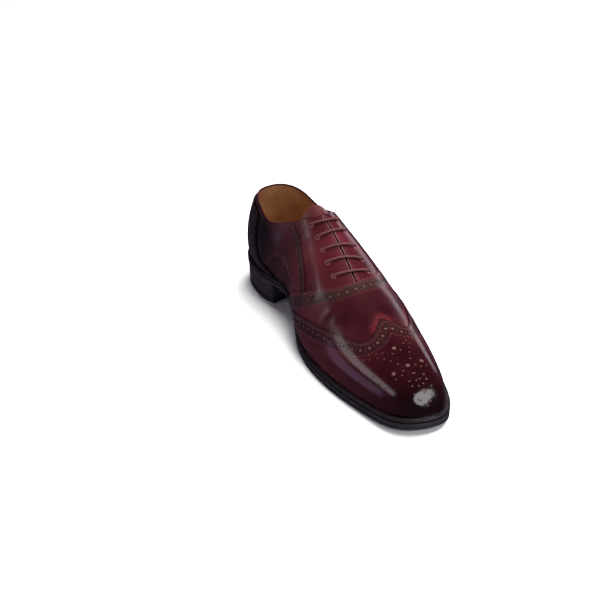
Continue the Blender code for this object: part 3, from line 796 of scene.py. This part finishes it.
def finish_over(name, finish, attribute):
    """Copy of a finish, with its tree, shader, colour and the distance kept on its piece."""
    made = finish.copy()
    made.name = name
    tree = made.node_tree
    shader = tree.nodes["Principled BSDF"]
    away = node(tree, "Attribute", {}, attribute_name=attribute).outputs["Fac"]
    return made, tree, shader, shader.inputs["Base Color"].links[0].from_socket, away


def band_finish(name, finish, edge, band, width):
    """The leather finish with a band along the cut edge rubbed darker, reddish at the edge."""
    made, tree, shader, base, away = finish_over(name, finish, "from_edge")
    share = node(tree, "MapRange", {"Value": away, "From Max": width}).outputs["Result"]
    cover = ramp(tree, share, (0.90, (0.85,) * 3), (0.97, (0.0,) * 3))
    rubbed = ramp(tree, share, (0.05, edge), (0.14, band))
    feed(tree, shader, {"Base Color": mixed(tree, cover, base, rubbed)})
    return made


def halo_finish(name, finish, attribute, tint, near, far):
    """The leather finish with a brighter tint round a seam, where the dark cream is worn."""
    made, tree, shader, base, away = finish_over(name, finish, attribute)
    share = node(tree, "MapRange", {"Value": away, "From Min": near, "From Max": far,
                                    "To Min": 0.75, "To Max": 0.0},
                 interpolation_type="SMOOTHSTEP").outputs["Result"]
    feed(tree, shader, {"Base Color": mixed(tree, share, base, (*tint, 1.0))})
    return made


underlay = plain_finish("pink_underlay", (0.095, 0.044, 0.042), 0.6)
thread = plain_finish("waxed_thread", (0.15, 0.052, 0.055), 0.5)
oxblood = leather_finish("oxblood_calf", (0.020, 0.0022, 0.0038), (0.048, 0.0054, 0.0088),
                         (0.3, 0.9, 1.0, 0.12), gloss=0.15, grain=0.12)
cap_leather = band_finish("cap_calf", oxblood, (0.030, 0.012, 0.010), (0.018, 0.005, 0.006), BAND)
spreads = np.concatenate([-np.linspace(1, 0, 121), np.linspace(0, 1, 121)[1:]])
wing_line = flat_line(wing_curve(np.abs(spreads)), spreads)
wing_edge = gimped(fore_lay, wing_line)
wing_edge[0, 1], wing_edge[-1, 1] = -ACROSS, ACROSS
side_steps = np.linspace(0, 1, 90)[1:]
medial_foot, lateral_foot = (
    np.column_stack([start + (ALONG - start) * side_steps, np.full(len(side_steps), edge)])
    for start, edge in (wing_edge[0], wing_edge[-1]))
wing_outline = np.concatenate([wing_edge, lateral_foot, medial_foot[::-1]])
wing_row = beside(fore_lay, wing_line, -ROW_INSET)
wing_inner = beside(fore_lay, wing_line, -BAND)

# Toe medallion, given in plan in millimetres from the heel's back and mirrored on its axis
MEDALLION_AXIS = -6.5
MEDALLION_PUNCH = 0.0018
MEDALLION_PRICK = 0.00085
MEDALLION_BIG = ((246, -6.5), (266, -6.5), (288, -6.5), (266, -19))
MEDALLION_SMALL = (
    (228, -35), (233, -29), (236, -25), (242, -20), (245, -16), (250, -10),
    (237, -30), (242, -26), (246, -21), (250, -18), (255, -15), (261, -12), (268, -12),
    (274, -7), (271, -20), (271, -15), (278, -13), (280, -8), (284, -4.5),
    (282, -13), (287, -14), (290, -13), (293, -9.5), (294, -6.5), (291, -1.5),
    (255, -30), (263, -30), (270, -28))


def toe_places(plan):
    """Flat places of points of the toe that are given in plan."""
    grid = np.stack(np.meshgrid(np.linspace(0.70, 0.995, 240) * ALONG,
                                np.linspace(-0.75, 0.75, 240) * ACROSS), -1).reshape(-1, 2)
    tree = search_tree(laid(fore_lay, grid) * (1, 1, 0))
    return np.array([grid[tree.find((x / 1000 - MIDDLE[0], y / 1000 - MIDDLE[1], 0.0))[1]]
                     for x, y in plan])


def both_sides(plan):
    """Medallion places and their mirror images, each once."""
    mirrored = {(x, round(2 * MEDALLION_AXIS - y, 3)) for x, y in plan}
    return sorted({(x, round(float(y), 3)) for x, y in plan} | mirrored)


wing_holes = (punched_row(fore_lay, wing_row[3:-3])
              + punch(fore_lay, toe_places(both_sides(MEDALLION_BIG)), MEDALLION_PUNCH, 12)
              + punch(fore_lay, toe_places(both_sides(MEDALLION_SMALL)), MEDALLION_PRICK, 8))
CAP_TOP = GAP + CAP_OVERLAY - SKIN
finished("wing_cap_leather",
         mark(cut_sheet(fore_lay, wing_outline, wing_holes, CAP_TOP, CAP_OVERLAY),
              "from_edge", fore_lay, wing_line),
         [cap_leather, underlay], ["wing_cap"])
wing_stitches = [beside(fore_lay, wing_line, -inset) for inset in EDGE_SEAMS] + [wing_inner]
finished("wing_cap_stitches", seam(fore_lay, wing_stitches, CAP_TOP), [thread])

# Vamp
# The front of the upper between the facings and the wings, with a gimped and punched rear
# edge stitched across the foot of the facings; the burgundy is at its clearest here.
OVERLAY = 0.0011
VAMP = np.array([
    (0.00, 0.5835), (0.15, 0.578), (0.28, 0.563), (0.42, 0.532), (0.50, 0.514),
    (0.58, 0.492), (0.68, 0.462), (0.80, 0.428), (1.00, 0.392)])
vamp_curve = natural(VAMP[:, 0], VAMP[:, 1])
WORN = (0.080, 0.0075, 0.011)
VAMP_TOOTH = 0.0046
VAMP_TOOTH_DEPTH = 0.0009
UNDER_WING = 0.0015
WORN_PLACES = (-0.03, 0.45)
WORN_REACH = 0.09
worn_vamp = halo_finish("worn_vamp_calf", burgundy, "from_wear", WORN, 0.0010, 0.0090)
vamp_leather = band_finish("vamp_calf", worn_vamp, (0.10, 0.02, 0.02), (0.022, 0.010, 0.009),
                           BAND)
vamp_line = flat_line(vamp_curve(np.abs(spreads)), spreads)
vamp_edge = gimped(fore_lay, vamp_line, VAMP_TOOTH, VAMP_TOOTH_DEPTH)
vamp_edge[0, 1], vamp_edge[-1, 1] = -ACROSS, ACROSS
front_stations = ridge_station(LENGTH * wing_curve(np.abs(spreads)) + UNDER_WING)
vamp_front = np.stack([ALONG * front_stations, ACROSS * spreads], -1)
vamp_outline = np.concatenate([vamp_edge, vamp_front[::-1]])
VAMP_TOP = GAP + OVERLAY - SKIN
vamp_row = beside(fore_lay, vamp_line, -ROW_INSET)
vamp_inner = beside(fore_lay, vamp_line, -BAND)
vamp_sheet = cut_sheet(fore_lay, vamp_outline, punched_row(fore_lay, vamp_row[14:-14]),
                       VAMP_TOP, OVERLAY)
mark(vamp_sheet, "from_edge", fore_lay, vamp_line)
worn = np.any([np.abs(spreads - place) < WORN_REACH for place in WORN_PLACES], axis=0)
mark(vamp_sheet, "from_wear", fore_lay, wing_line[worn])
finished("vamp_leather", vamp_sheet, [vamp_leather, underlay], ["vamp"])
vamp_stitches = [beside(fore_lay, vamp_line, -inset) for inset in EDGE_SEAMS]
vamp_stitches.append(vamp_inner[8:-8])
finished("vamp_stitches", seam(fore_lay, vamp_stitches, VAMP_TOP), [thread])

# Facing strips
# The punched band down each side of the lacing, gimped on both edges and rubbed dark, from
# the collar to the rear edge of the vamp, under which it is caught.
STRIP_OVERLAY = 0.0010
STRIP = np.array([
    (0.300, 0.355, 0.405), (0.321, 0.375, 0.425), (0.357, 0.406, 0.462), (0.397, 0.431, 0.503),
    (0.430, 0.469, 0.556), (0.467, 0.519, 0.625), (0.493, 0.575, 0.680)])
strip_front = natural(STRIP[:, 0], STRIP[:, 1])
strip_rear = natural(STRIP[:, 0], STRIP[:, 2])
STRIP_MARGIN = 0.012
STRIP_TOP = GAP + STRIP_OVERLAY - SKIN
STRIP_TOOTH = 0.0022
STRIP_TOOTH_DEPTH = 0.0004
STRIP_PITCH = 0.0062
STRIP_PUNCH = 0.0010
STRIP_PRICK = 0.0006
STRIP_STITCH = (0.0017, 0.0012, 0.0003)
strip_leather = leather_finish("strip_calf", (0.012, 0.0034, 0.0040), (0.028, 0.0080, 0.0085),
                               (0.8, 1.0, 1.0, 1.0), gloss=0.34)


def strip_line(share, side):
    """Flat line along a strip, 0 on its front edge and 1 on its rear one."""
    places = np.linspace(STRIP[0, 0], STRIP[-1, 0], 300)
    spread = strip_front(places) * (1 - share) + strip_rear(places) * share
    turns = side * ridge_station(LENGTH * places)
    under_collar = spread > 1 - top_share(turns) + STRIP_MARGIN
    before_vamp = places < vamp_curve(spread) - 2 * GAP / LENGTH
    keep = under_collar & before_vamp
    return flat_line(places[keep], side * spread[keep])


strip_stitches = []
for side, name in ((-1, "facing_strip_medial"), (1, "facing_strip_lateral")):
    front_edge, rear_edge = (gimped(fore_lay, strip_line(share, side), STRIP_TOOTH,
                                    STRIP_TOOTH_DEPTH) for share in (0.06, 0.94))
    holes = punched_row(fore_lay, spaced(fore_lay, strip_line(0.5, side), 0.001)[6:-4],
                        STRIP_PITCH, STRIP_PUNCH, STRIP_PRICK)
    finished(name + "_leather",
             cut_sheet(fore_lay, np.concatenate([front_edge, rear_edge[::-1]]), holes, STRIP_TOP,
                       STRIP_OVERLAY, grid=0.0012),
             [strip_leather, underlay], [name])
    strip_stitches += [strip_line(0.16, side), strip_line(0.84, side)]
finished("facing_strip_stitches",
         seam(fore_lay, strip_stitches, STRIP_TOP, *STRIP_STITCH), [thread])

# Counter
# The outside counter round the heel, nearly black from the burnishing wheel, with a gimped
# front edge, a punched row along it and rows of black stitches.
COUNTER = np.array([
    (0.00, 0.292), (0.15, 0.272), (0.21, 0.250), (0.35, 0.229), (0.57, 0.218), (0.80, 0.210),
    (1.00, 0.206)])
COUNTER_RISE = 11 / 12
COUNTER_ROW = 0.0062
COUNTER_SEAMS = (0.0024, 0.0100)
COUNTER_TOP_SEAM = 0.0018
COUNTER_PITCH = 0.0070
COUNTER_PUNCH = 0.0009
COUNTER_PRICK = 0.0005
counter_curve = natural(COUNTER[:, 0], COUNTER[:, 1])


def heel_line(turns, rise):
    """Flat line on the rear, by turn round the heel and rise (0 at the feather edge)."""
    return np.stack([ALONG * turns, ACROSS * (1 - rise)], -1)


def counter_line(side):
    """Flat line up the counter's front edge on one side."""
    rises = np.linspace(0, 1, 120)
    turns = side * ridge_station(LENGTH * counter_curve(rises))
    return heel_line(turns, rises * COUNTER_RISE * top_share(turns))


counter_calf = leather_finish("counter_calf", (0.0045, 0.0018, 0.0024), (0.014, 0.0034, 0.0048),
                              (0.8, 1.0, 1.0, 1.0), gloss=0.26)
counter_edges = []
for side in (-1, 1):
    edge = gimped(heel_lay, counter_line(side))
    edge[0, 1] = ACROSS
    counter_edges.append(edge)
reach = ridge_station(LENGTH * counter_curve(1.0))
top_turns = np.linspace(-reach, reach, 121)[3:-3]
counter_top = heel_line(top_turns, COUNTER_RISE * top_share(top_turns))
foot_turns = np.linspace(counter_edges[1][0, 0], counter_edges[0][0, 0], 160)[1:-1]
counter_foot = np.stack([foot_turns, np.full(len(foot_turns), ACROSS)], -1)
counter_outline = np.concatenate([counter_edges[0], counter_top, counter_edges[1][::-1],
                                  counter_foot])
counter_holes = []
counter_stitches = [beside(heel_lay, counter_top, COUNTER_TOP_SEAM)]
for side in (-1, 1):
    row = beside(heel_lay, counter_line(side), side * COUNTER_ROW)
    counter_holes += punched_row(heel_lay, row[16:-6], COUNTER_PITCH, COUNTER_PUNCH,
                                 COUNTER_PRICK)
    counter_stitches += [beside(heel_lay, counter_line(side), side * inset)
                         for inset in COUNTER_SEAMS]
finished("counter_leather",
         cut_sheet(heel_lay, counter_outline, counter_holes, GAP + OVERLAY - SKIN, OVERLAY),
         [counter_calf, underlay], ["counter"])
dark_thread = plain_finish("black_thread", (0.018, 0.012, 0.014), 0.5)
finished("counter_stitches", seam(heel_lay, counter_stitches, GAP + OVERLAY - SKIN),
         [dark_thread])

# Quarter seams
# Closed seams and edge stitching sewn through the quarters: a curved double row from the
# counter up to the strips, one along the collar and one down each edge of the slot.
FOXING = np.array([
    (0.272, 0.900), (0.281, 0.831), (0.291, 0.775), (0.311, 0.735), (0.340, 0.715),
    (0.371, 0.705), (0.401, 0.715), (0.440, 0.690), (0.462, 0.655)])
QUARTER_STITCH = (0.0018, 0.0013, 0.0003)
FOXING_ROWS = 0.0016
SLOT_SEAM = 0.0026
COLLAR_SEAM = 0.0024
COLLAR_PITCH = 0.0019
foxing_curve = natural(FOXING[:, 0], FOXING[:, 1])
quarter_seams = []
slot_lines = []
for side in (-1, 1):
    places = np.linspace(FOXING[0, 0], FOXING[-1, 0], 120)
    line = flat_line(places, side * foxing_curve(places))
    quarter_seams += [line, beside(fore_lay, line, FOXING_ROWS)]
    slot_places = np.linspace(THROAT_TOP / LENGTH + 0.003, THROAT_END / LENGTH - 0.004, 80)
    slot_turns = side * ridge_station(LENGTH * slot_places)
    slot_line = flat_line(slot_places, side * (1 - top_share(slot_turns)))
    slot_lines.append(slot_line)
    quarter_seams.append(beside(fore_lay, slot_line, side * SLOT_SEAM))
finished("quarter_stitches", seam(fore_lay, quarter_seams, -SKIN, *QUARTER_STITCH), [thread])
collar_turns = np.linspace(-ridge_station(THROAT_TOP) + 0.002, ridge_station(THROAT_TOP) - 0.002,
                           400)
collar_line = heel_line(collar_turns, top_share(collar_turns))
finished("collar_stitches",
         seam(heel_lay, [beside(heel_lay, collar_line, COLLAR_SEAM)], -SKIN, COLLAR_PITCH),
         [thread])

# Collar bead
# The folded and cemented edge of the quarters round the collar and down the slot, where the
# outer leather is turned over the lining in a soft roll.
BEAD = 0.00095
SLOT_BEAD = 0.0005
SLOT_BEAD_SUNK = 0.0003


def bead(name, route, radii, finish, replaced=()):
    """Round cord along a route, as a mesh."""
    curve = bpy.data.curves.new(name, "CURVE")
    curve.dimensions = "3D"
    curve.bevel_depth = 1.0
    curve.bevel_resolution = 3
    curve.use_fill_caps = True
    line = curve.splines.new("POLY")
    line.points.add(len(route) - 1)
    for point, at, radius in zip(line.points, route, radii):
        point.co = (*at, 1.0)
        point.radius = radius
    drawn = bpy.data.objects.new(name + "_route", curve)
    round_mesh = bmesh.new()
    round_mesh.from_mesh(drawn.to_mesh())
    bpy.data.objects.remove(drawn)
    bpy.data.curves.remove(curve)
    return finished(name, round_mesh, [finish], replaced, 1.2)


collar_leather = leather_finish("collar_calf", (0.020, 0.003, 0.005), (0.05, 0.007, 0.012),
                                (0.7, 1.0, 1.0, 1.0), gloss=0.34)
bead("collar_bead", laid(heel_lay, collar_line, -SKIN - BEAD), np.full(len(collar_line), BEAD),
     collar_leather)
worn_edge = plain_finish("worn_slot_edge", (0.13, 0.048, 0.052), 0.45, 200.0, 0.2)
for line, name in zip(slot_lines, ("slot_bead_medial", "slot_bead_lateral")):
    bead(name, laid(fore_lay, line, -SKIN - SLOT_BEAD_SUNK), np.full(len(line), SLOT_BEAD),
         worn_edge)

# Tongue
# A soft calf tongue lying under the facings; its rounded top stands a little above the
# highest lace.
TONGUE = 0.0016
TONGUE_TOP = 0.331
TONGUE_FOOT = 0.62
TONGUE_GAP = 0.0014
TONGUE_SPREAD = 1 / 3
TONGUE_ROUNDING = 0.010
WALL = OUTER_LEATHER + LINING
turned = np.linspace(-1, 1, 61)
tongue_top = flat_line(TONGUE_TOP + TONGUE_ROUNDING * np.abs(turned) ** 6, TONGUE_SPREAD * turned)
tongue_foot = flat_line(np.full(61, TONGUE_FOOT), TONGUE_SPREAD * turned)
tongue_leather = leather_finish("tongue_calf", (0.055, 0.012, 0.012), (0.10, 0.026, 0.024),
                                (1.0, 1.0, 1.0, 1.0), gloss=0.42)
TONGUE_HEIGHT = -SKIN - WALL - TONGUE_GAP
finished("tongue_leather",
         cut_sheet(fore_lay, np.concatenate([tongue_top, tongue_foot[::-1]]), [],
                   TONGUE_HEIGHT, TONGUE),
         [tongue_leather], ["tongue"])

# Eyelets and lace
# Five pairs of blind eyelets punched through the facings, and a thin round waxed lace run
# straight across them; its ends are tucked away inside at the top eyelets.
LACE = 0.0022
LACE_SPAN = 0.215
BARS = ((0.381, 0.394, 0.386), (0.420, 0.427, 0.420), (0.457, 0.470, 0.470),
        (0.493, 0.507, 0.512), (0.534, 0.549, 0.549))
UNDER = -SKIN - WALL - TONGUE_GAP / 2
EYELET_PAST_BAR = 0.012
EYELET = 0.0024
EYELET_RIM = 0.0008
EYELET_LIP = 0.0002
EYELET_PROUD = 0.00005
eyelet_leather = plain_finish("worn_eyelet", (0.27, 0.085, 0.095), 0.4, 300.0, 0.2)
eyelets = bmesh.new()
for medial, middle, lateral in BARS:
    for place, side in ((medial, -1), (lateral, 1)):
        at = flat_line(np.array([place]), np.array([side * (LACE_SPAN + EYELET_PAST_BAR)]))
        centre, along, _, out = surface(fore_lay, at)
        x_way = Vector(along[0]).normalized()
        z_way = Vector(out[0])
        turn = Matrix((x_way, z_way.cross(x_way), z_way)).transposed().to_4x4()
        turn.translation = Vector(centre[0]) - z_way * (SKIN - EYELET_PROUD)
        ring = bmesh.ops.create_circle(eyelets, cap_ends=True, segments=16, radius=EYELET,
                                       matrix=turn)
        face = ring["verts"][0].link_faces[0]
        bmesh.ops.inset_individual(eyelets, faces=[face], thickness=EYELET_RIM, depth=EYELET_LIP)
        pit = bmesh.ops.extrude_discrete_faces(eyelets, faces=[face])["faces"]
        bmesh.ops.translate(eyelets, verts=pit[0].verts, vec=-z_way * EYELET_RIM)
finished("eyelet_rims", eyelets, [eyelet_leather], crease=1.2)

lace_cord = plain_finish("round_lace", (0.085, 0.026, 0.028), 0.5, 900.0, 0.5)
BAR_STEPS = 25
# How the lace goes down through a hole: spread past the bar's end, and height
HOLE_RUN = ((0.020, -0.0001), (0.026, -0.0012), (0.028, UNDER))


def bar_route(bar, first):
    """Flat places and heights of the lace along one bar, from the side where it comes up."""
    medial, middle, lateral = bar
    across = np.linspace(-1, 1, BAR_STEPS)
    bow = middle + (lateral - medial) / 2 * across
    bow = bow + ((lateral + medial) / 2 - middle) * across ** 2
    places = np.column_stack([flat_line(bow, LACE_SPAN * across),
                              np.full(BAR_STEPS, GAP + LACE / 2 - SKIN)])
    ends = []
    for side, place in ((-1, medial), (1, lateral)):
        x = ALONG * ridge_station(LENGTH * place)
        ends.append([[x, side * ACROSS * (LACE_SPAN + past), height] for past, height in HOLE_RUN])
    route = np.concatenate([ends[0][::-1], places, ends[1]])
    return route if first < 0 else route[::-1]


lace_order = ((1, 1), (3, -1), (4, 1), (2, -1), (0, 1))
lace_flat = np.concatenate([bar_route(BARS[number], -way) for number, way in lace_order])
thin = np.where(lace_flat[:, 2] < -SKIN - OUTER_LEATHER, 0.5, 1.0)
bead("lace", fore_lay(lace_flat), thin * LACE / 2, lace_cord,
     [f"lace_bar_{number}" for number in range(1, 6)])

# Insole
# The sock lining glued on the insole board, seen down the collar: tan leather, a little
# dished from side to side.
INSOLE = 0.0025
INSOLE_CLEARANCE = 0.0012
INSOLE_DISH = 0.0006


def slab(rows, across, inset, low, high, rounding=0.0):
    """Slab between two heights across the sole, on given ribs, with rounded edges."""
    flat = bmesh.new()
    bmesh.ops.create_grid(flat, x_segments=len(rows) - 1, y_segments=across, size=1.0)
    wall = flat.faces.layers.int.new("wall")
    give_thickness(flat, 1.0, 1.0)
    for face in flat.faces:
        face[wall] = len({round(vert.co.z) for vert in face.verts}) - 1

    def lay(at):
        s = rows[np.rint((at[:, 0] + 1) / 2 * (len(rows) - 1)).astype(int)]
        share = (at[:, 1:2] + 1) / 2
        plan = inset_edge(-s, inset(-s)) * (1 - share) + inset_edge(s, inset(s)) * share
        z = np.where(at[:, 2] > 0.5, high(plan[:, 0], at[:, 1]), low(plan[:, 0], at[:, 1]))
        return np.column_stack([plan - MIDDLE, z])
    pull_over(flat, lay)
    if rounding:
        rims = [edge for edge in flat.edges if len(edge.link_faces) == 2
                and edge.link_faces[0][wall] != edge.link_faces[1][wall]]
        bmesh.ops.bevel(flat, geom=rims, offset=rounding, offset_type="OFFSET", segments=3,
                        profile=0.5, affect="EDGES", material=-1, clamp_overlap=True)
    return flat


def insole_edge(c):
    """Edge of the insole, inside the upper's wall."""
    return BALL_WIDTH * shelf(c) + SKIN + WALL + INSOLE_CLEARANCE


def flush(c):
    """Edge of a layer that comes to the sole's own edge."""
    return np.zeros_like(c)


whole_sole = np.linspace(0, 1, 161)
finished("sock_lining",
         slab(whole_sole, 12, insole_edge, lambda x, t: welt_top(x) + GAP,
              lambda x, t: welt_top(x) + GAP + INSOLE - INSOLE_DISH * (1 - t ** 2)),
         [tan], ["insole"])

# Welt
# A black waxed strip sewn round the edge of the upper and down to the outsole, its rim
# rounded, with one row of thick stitches sunk in a channel along its shelf.
WELT_WIDTH = 0.0115
WELT_CHANNEL = 0.0027
WELT_ROW = 0.0020
WELT_STITCH = (0.0032, 0.0027, 0.0008)
black_welt = plain_finish("black_welt", (0.010, 0.008, 0.011), 0.36, 220.0, 0.25, 0.35)
welt_turns = np.linspace(-1, 1, 361)
welt_section = ((0.0009, 0.0), (0.0, 0.0008), (0.0, 0.0021), (0.0003, 0.0027), (0.0009, 0.0030),
                (0.0016, 0.0029), (0.0020, 0.0026), (0.0024, 0.0029), (0.0034, 0.0030),
                (WELT_WIDTH, 0.0030), (WELT_WIDTH, 0.0))
strip = bmesh.new()
bmesh.ops.create_grid(strip, x_segments=360, y_segments=len(welt_section), size=1.0)


def welt_lay(at):
    """Place of the flat strip round the sole's edge, its section given row by row."""
    turns = welt_turns[np.rint((at[:, 0] + 1) * 180).astype(int)]
    rows = np.rint((at[:, 1] + 1) / 2 * len(welt_section)).astype(int) % len(welt_section)
    section = np.array(welt_section)[rows]
    plan = inset_edge(turns, section[:, 0])
    z = underside(plan[:, 0]) + OUTSOLE + section[:, 1]
    return np.column_stack([plan - MIDDLE, z])


pull_over(strip, welt_lay)
finished("welt_strip", strip, [black_welt], ["welt"], crease=1.0)


def welt_row(flat):
    """Place of stitches on the shelf, from a flat line round the sole."""
    turns = flat[..., 0] / ALONG
    plan = inset_edge(turns, flat[..., 1])
    z = underside(plan[..., 0]) + OUTSOLE + WELT_CHANNEL + flat[..., 2]
    return np.column_stack([plan - MIDDLE, z])


row_turns = np.linspace(-0.985, 0.985, 600)
row_line = np.stack([-ALONG * row_turns, np.full(600, WELT_ROW)], -1)
welt_thread = plain_finish("brown_welt_thread", (0.055, 0.038, 0.034), 0.4)
finished("welt_stitches", seam(welt_row, [row_line], 0.0001, *WELT_STITCH),
         [welt_thread])

# Outsole, tread and heel
# A black outsole, its waist sunk between two grooves, faced under the forepart with ribbed
# rubber; the heel is built of lifts on the seat, with a hollowed breast and a separate
# rubber at the back.
TREAD_REAR = 0.48 * LENGTH
TOP_PIECE = 0.0060
HEEL_SPLIT = 0.030
HEEL_INSET = 0.0008
BREAST_HOLLOW = 0.006
HOLLOW_REACH = 0.02
EDGE_ROUNDING = 0.0006
black_edge = plain_finish("black_sole_edge", (0.019, 0.016, 0.023), 0.36, 90.0, 0.12, 0.4)
black_rubber = plain_finish("black_rubber", (0.012, 0.012, 0.015), 0.62, 700.0, 0.35, 0.3)
WAIST_END = 0.455
WAIST_SPREAD = 0.76
WAIST_DEPTH = 0.0005


def waist_face(x, t):
    """Underside of the outsole, sunk at the waist between two narrow grooves."""
    waist = x < WAIST_END * LENGTH
    sunk = WAIST_DEPTH * (waist & (np.abs(t) < WAIST_SPREAD - 0.01))
    groove = 3 * WAIST_DEPTH * (waist & (np.abs(np.abs(t) - WAIST_SPREAD) < 0.01))
    return underside(x) + sunk + groove


finished("outsole_slab",
         slab(np.linspace(0, 1, 321), 50, flush, waist_face,
              lambda x, t: underside(x) + OUTSOLE - GAP, EDGE_ROUNDING),
         [black_edge], ["outsole"])
RIB_PITCH = 0.0021
RIB_DEPTH = 0.0007
RIB_END = 0.84
BOLD = (0.535, 0.66, 0.84)
BOLD_DEPTH = 0.0012
BOLD_WIDTH = 0.0008


def tread_face(x, t):
    """Underside of the tread: fine ribs across it, three bolder grooves, a plain toe."""
    share = x / LENGTH
    wave = 0.5 - 0.5 * np.cos(2 * np.pi * x / RIB_PITCH)
    ribbed = (share > 0.50) & (share < RIB_END)
    depth = np.where(ribbed, RIB_DEPTH * wave, 0.0)
    for place in BOLD:
        bold = BOLD_DEPTH * np.exp(-((x - place * LENGTH) / BOLD_WIDTH) ** 2)
        depth = np.maximum(depth, bold)
    return underside(x) - TREAD + depth * (np.abs(t) < 0.93)


tread_x = np.arange(TREAD_REAR, RIB_END * LENGTH, RIB_PITCH / 6)
tread_rows = np.concatenate([station(tread_x / LENGTH),
                             np.linspace(station(RIB_END + 0.002), 1, 60)])
finished("tread",
         slab(tread_rows, 40, flush, tread_face, lambda x, t: underside(x) - GAP),
         [black_rubber], ["forepart_tread"], crease=0.9)
breast = float(station(HEEL_LENGTH / LENGTH))
split = float(station(HEEL_SPLIT / LENGTH))
breast_half = BALL_WIDTH * float(sole_side(breast) - sole_side(-breast)) / 2
breast_centre = BALL_WIDTH * float(sole_side(breast) + sole_side(-breast)) / 2


def heel_part(start, end, low, high, hollow):
    """Layer of the heel between two places along it, its front hollowed like the breast."""
    rows = np.linspace(start, end, 61)
    flat = slab(rows, 24, lambda c: np.full_like(c, HEEL_INSET), low, high)
    if hollow:
        for vert in flat.verts:
            x = vert.co.x + MIDDLE[0]
            behind = max(0.0, 1 - (HEEL_LENGTH - x) / HOLLOW_REACH)
            share = (vert.co.y + MIDDLE[1] - breast_centre) / breast_half
            vert.co.x -= BREAST_HOLLOW * behind * max(0.0, 1 - share ** 2)
    return flat


finished("heel_lifts",
         heel_part(0, breast, lambda x, t: np.full_like(x, TOP_PIECE),
                   lambda x, t: underside(x) - GAP, True),
         [black_edge], ["heel_block"])
finished("heel_top",
         heel_part(split + 0.001, breast, lambda x, t: np.zeros_like(x),
                   lambda x, t: np.full_like(x, TOP_PIECE - GAP), True),
         [black_rubber], ["heel_top_piece"])
finished("heel_rear",
         heel_part(0, split - 0.001, lambda x, t: np.zeros_like(x),
                   lambda x, t: np.full_like(x, TOP_PIECE - GAP), False),
         [black_rubber], ["heel_rubber"])
